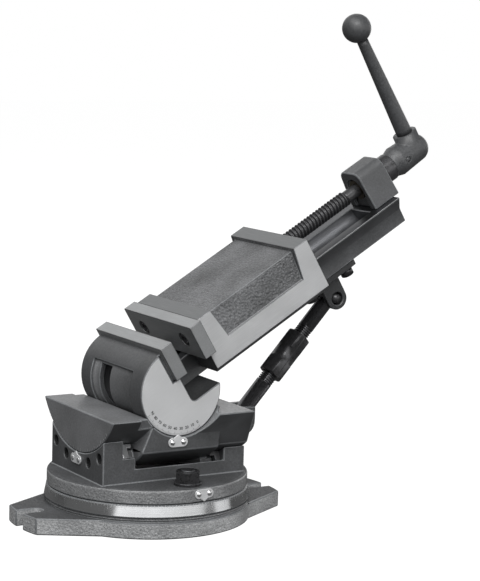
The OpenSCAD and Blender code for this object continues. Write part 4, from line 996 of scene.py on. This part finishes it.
ring_axes = Matrix.Translation((0, 0, span("base_casting")[1].z))
scale_on("swivel_scale", "base", "cast_iron", ring_axes, count=180, first=0.0, step=math.radians(2),
         radius=73.2 * MM, slope=-math.pi / 2 - RING_FLARE, short=2.2 * MM, long=4.0 * MM, long_every=5,
         width=0.25 * MM, finish=scale_paint)
horn_end = Matrix.Translation((span("rocker_saddle")[0].x, 0, lean_z * MM))
lean_axes = horn_end @ Matrix(((0, 0, -1), (0, -1, 0), (-1, 0, 0))).to_4x4()
scale_on("lean_scale", "rocker", "cast_iron", lean_axes, count=37, first=math.radians(-45),
         step=math.radians(2.5), radius=65.4 * MM, slope=0.0, short=1.4 * MM, long=2.6 * MM, long_every=4,
         width=0.25 * MM, finish=scale_paint)
dial_face = Matrix.Translation((0, span("vise_body", bed_axes)[0].y, 0))
dial_axes = bed_axes @ dial_face @ Matrix.Rotation(math.pi / 2, 4, "X")
scale_on("tilt_scale", "vise", "ground_steel", dial_axes, count=46, first=math.radians(180),
         step=math.radians(2), radius=31.2 * MM, slope=0.0, short=1.3 * MM, long=2.4 * MM, long_every=5,
         width=0.2 * MM, finish=scale_ink)

# %% [markdown]
# ## Numbers on the dial
# The tilt is read from plain numbers, stamped every ten degrees. Each is a text object that is made a mesh,
# a hair thicker than the typeface, because a stamp spreads the metal. It is then turned into its place, with
# its foot to the rim.

# %% Numbers on the dial
NUMBER_HEIGHT = 2.9 * MM
NUMBER_RADIUS = 26.6 * MM
THICKENING = NUMBER_HEIGHT / 45
QUARTER = Matrix.Rotation(math.pi / 2, 4, "Z")


def numeral(value):
    """A plain number as a thin mesh, its middle at the origin."""
    writing = bpy.data.curves.new("numeral", "FONT")
    writing.body = str(value)
    writing.size = NUMBER_HEIGHT
    writing.align_x = "CENTER"
    writing.align_y = "CENTER"
    writing.extrude = LINE_HEIGHT / 2
    writing.offset = THICKENING
    writing.resolution_u = 3
    drawn = object_with(writing, "numeral")
    mesh = bpy.data.meshes.new_from_object(drawn.evaluated_get(bpy.context.evaluated_depsgraph_get()))
    bpy.data.objects.remove(drawn)
    return mesh


numerals = []
for value in range(0, 100, 10):
    mesh = numeral(value)
    around = Matrix.Rotation(math.radians(270 - value), 4, "Z")
    mesh.transform(dial_axes @ around @ Matrix.Translation((NUMBER_RADIUS, 0, 0)) @ QUARTER)
    numerals.append(mesh)
mesh = kept(merged(*numerals, distance=MERGE / 4), "dial_numbers")
mesh.materials.append(scale_ink)
seated(object_with(mesh, "dial_numbers"), "vise")

# %% [markdown]
# ## Clamp nuts
# A hexagon nut is turned before it is tapped, and the turned cone leaves an arc on each of its six sides. A
# bevel can't make that arc, so the tree cuts a hexagon with a cone and sets it on each bolt.

# %% Clamp nuts
CROWN_SHARE = 0.47
CROWN_SIDES = 72
nut_tree, size, put = started_tree("hexagon_nuts", "across_flats", "height")
corner = put(MATH, (size["across_flats"], math.sqrt(3)), operation="DIVIDE")
top_r = put(MATH, (size["across_flats"], CROWN_SHARE), operation="MULTIPLY")
foot_r = put(MATH, (size["height"], math.sqrt(3), top_r), operation="MULTIPLY_ADD")
hexagon = put("GeometryNodeMeshCylinder", {"Vertices": 6, "Radius": corner, "Depth": size["height"]})
crown = put("GeometryNodeMeshCone", {"Vertices": CROWN_SIDES, "Radius Top": top_r, "Radius Bottom": foot_r,
                                     "Depth": size["height"]})
half_down = put(MATH, (size["height"], -0.5), operation="MULTIPLY")
sunk = put(VECTOR, {"Z": half_down})
centred = put("GeometryNodeTransform", {"Geometry": crown, "Translation": sunk})
nut = put("GeometryNodeMeshBoolean", {"Mesh 2": hexagon}, operation="INTERSECT", solver="EXACT")
nut_tree.links.new(centred.outputs[0], nut.inputs["Mesh 2"])
set_on = put("GeometryNodeInstanceOnPoints", {"Points": size["Geometry"], "Instance": nut})
ended(nut_tree, set_on, size["finish"])


def loose_points(name, places):
    """A mesh of points, for a tree to set something on."""
    mesh = bpy.data.meshes.new(name)
    mesh.from_pydata(places, [], [])
    return mesh


boxes = [box_of(points) for points in islands(solids["swivel_clamp_nuts"].data)]
nut_size = boxes[0][1]
nuts = grown("swivel_clamp_nuts_chamfered", nut_tree, loose_points("nut_places", [box[0] for box in boxes]),
             across_flats=min(nut_size.xy), height=nut_size.z, finish=dry_black)
in_place_of("swivel_clamp_nuts", smoothed(nuts))

# %% [markdown]
# ## Socket screws
# A socket head has a hexagon hole for its key. The tree sinks a hexagon bar into a copy of the screws, at
# the places where their heads end, and a Boolean takes the bar away again.

# %% Socket screws
BOTH_ENDS = 0
ALONG_TABLE = Vector((1, 0, 0))
ACROSS = Vector((0, 1, 0))
along_bed = bed_axes.to_3x3() @ Vector((1, 0, 0))
under_bed = bed_axes.to_3x3() @ Vector((0, 0, -1))
# Node, line of the screws, the way their heads look along it, width across flats and depth in millimetres
SOCKETS = (
    ("lean_keeper_screws", ALONG_TABLE, BOTH_ENDS, 3.0, 2.0),
    ("fixed_jaw_screws", along_bed, 1, 5.0, 3.0),
    ("moving_jaw_screws", along_bed, -1, 5.0, 3.0),
    ("bracket_screws", under_bed, 1, 5.0, 3.0),
    ("strut_bracket_screws", under_bed, 1, 5.0, 3.0),
    ("gib_screws", ACROSS, 1, 2.5, 2.5),
    ("collar_set_screw", ACROSS, 1, 2.5, 2.5),
)
socket_tree, size, put = started_tree("hexagon_sockets", "across_flats", "depth", places="Object",
                                      axis="Vector")
heads = put("GeometryNodeObjectInfo", {"Object": size["places"]}).outputs["Geometry"]
corner = put(MATH, (size["across_flats"], math.sqrt(3)), operation="DIVIDE")
key_length = put(MATH, (size["depth"], 2), operation="MULTIPLY")
key = put("GeometryNodeMeshCylinder", {"Vertices": 6, "Radius": corner, "Depth": key_length})
aligned = put("FunctionNodeAlignRotationToVector", {"Vector": size["axis"]}, axis="Z")
keys = put("GeometryNodeInstanceOnPoints", {"Points": heads, "Instance": key, "Rotation": aligned})
sunk = put("GeometryNodeMeshBoolean", {"Mesh 1": size["Geometry"], "Mesh 2": keys},
           operation="DIFFERENCE", solver="EXACT")
ended(socket_tree, sunk, size["finish"])

for node, axis, way, across_flats_mm, depth_mm in SOCKETS:
    mesh = kept(merged(solids[node].data), node)
    places = []
    for points in islands(mesh):
        middle = sum(points, Vector()) / len(points)
        out = axis * (way or math.copysign(1, middle.dot(axis)))
        places.append(middle + out * max((point - middle).dot(out) for point in points))
    marks = object_with(loose_points(node + "_heads", places), node + "_heads")
    screws = grown(node + "_socketed", socket_tree, mesh, places=marks, axis=axis,
                   across_flats=across_flats_mm * MM, depth=depth_mm * MM, finish=dry_black)
    bpy.data.objects.remove(marks)
    in_place_of(node, smoothed(screws))

# %% [markdown]
# ## The other solids
# Pins, rivets, the lead nut and the bush are plain turned or cut pieces, mostly hidden. Their solids are shown as
# they are, and only take the finish of their kind.

# %% The solids that stay as they are
finish_of_slot = {"cast_iron": smooth_enamel, "ground_steel": ground_bar, "black_steel": dry_black,
                  "index_alloy": rivet_metal, "bronze": bronze, "crank_grey": crank_enamel}
plain = [node for node, piece in solids.items() if not piece.hide_render]
for node in plain:
    solids[node].data.materials.clear()
    solids[node].data.materials.append(finish_of_slot[slot_of[node]])
print(len(plain), "solids stay as they are")
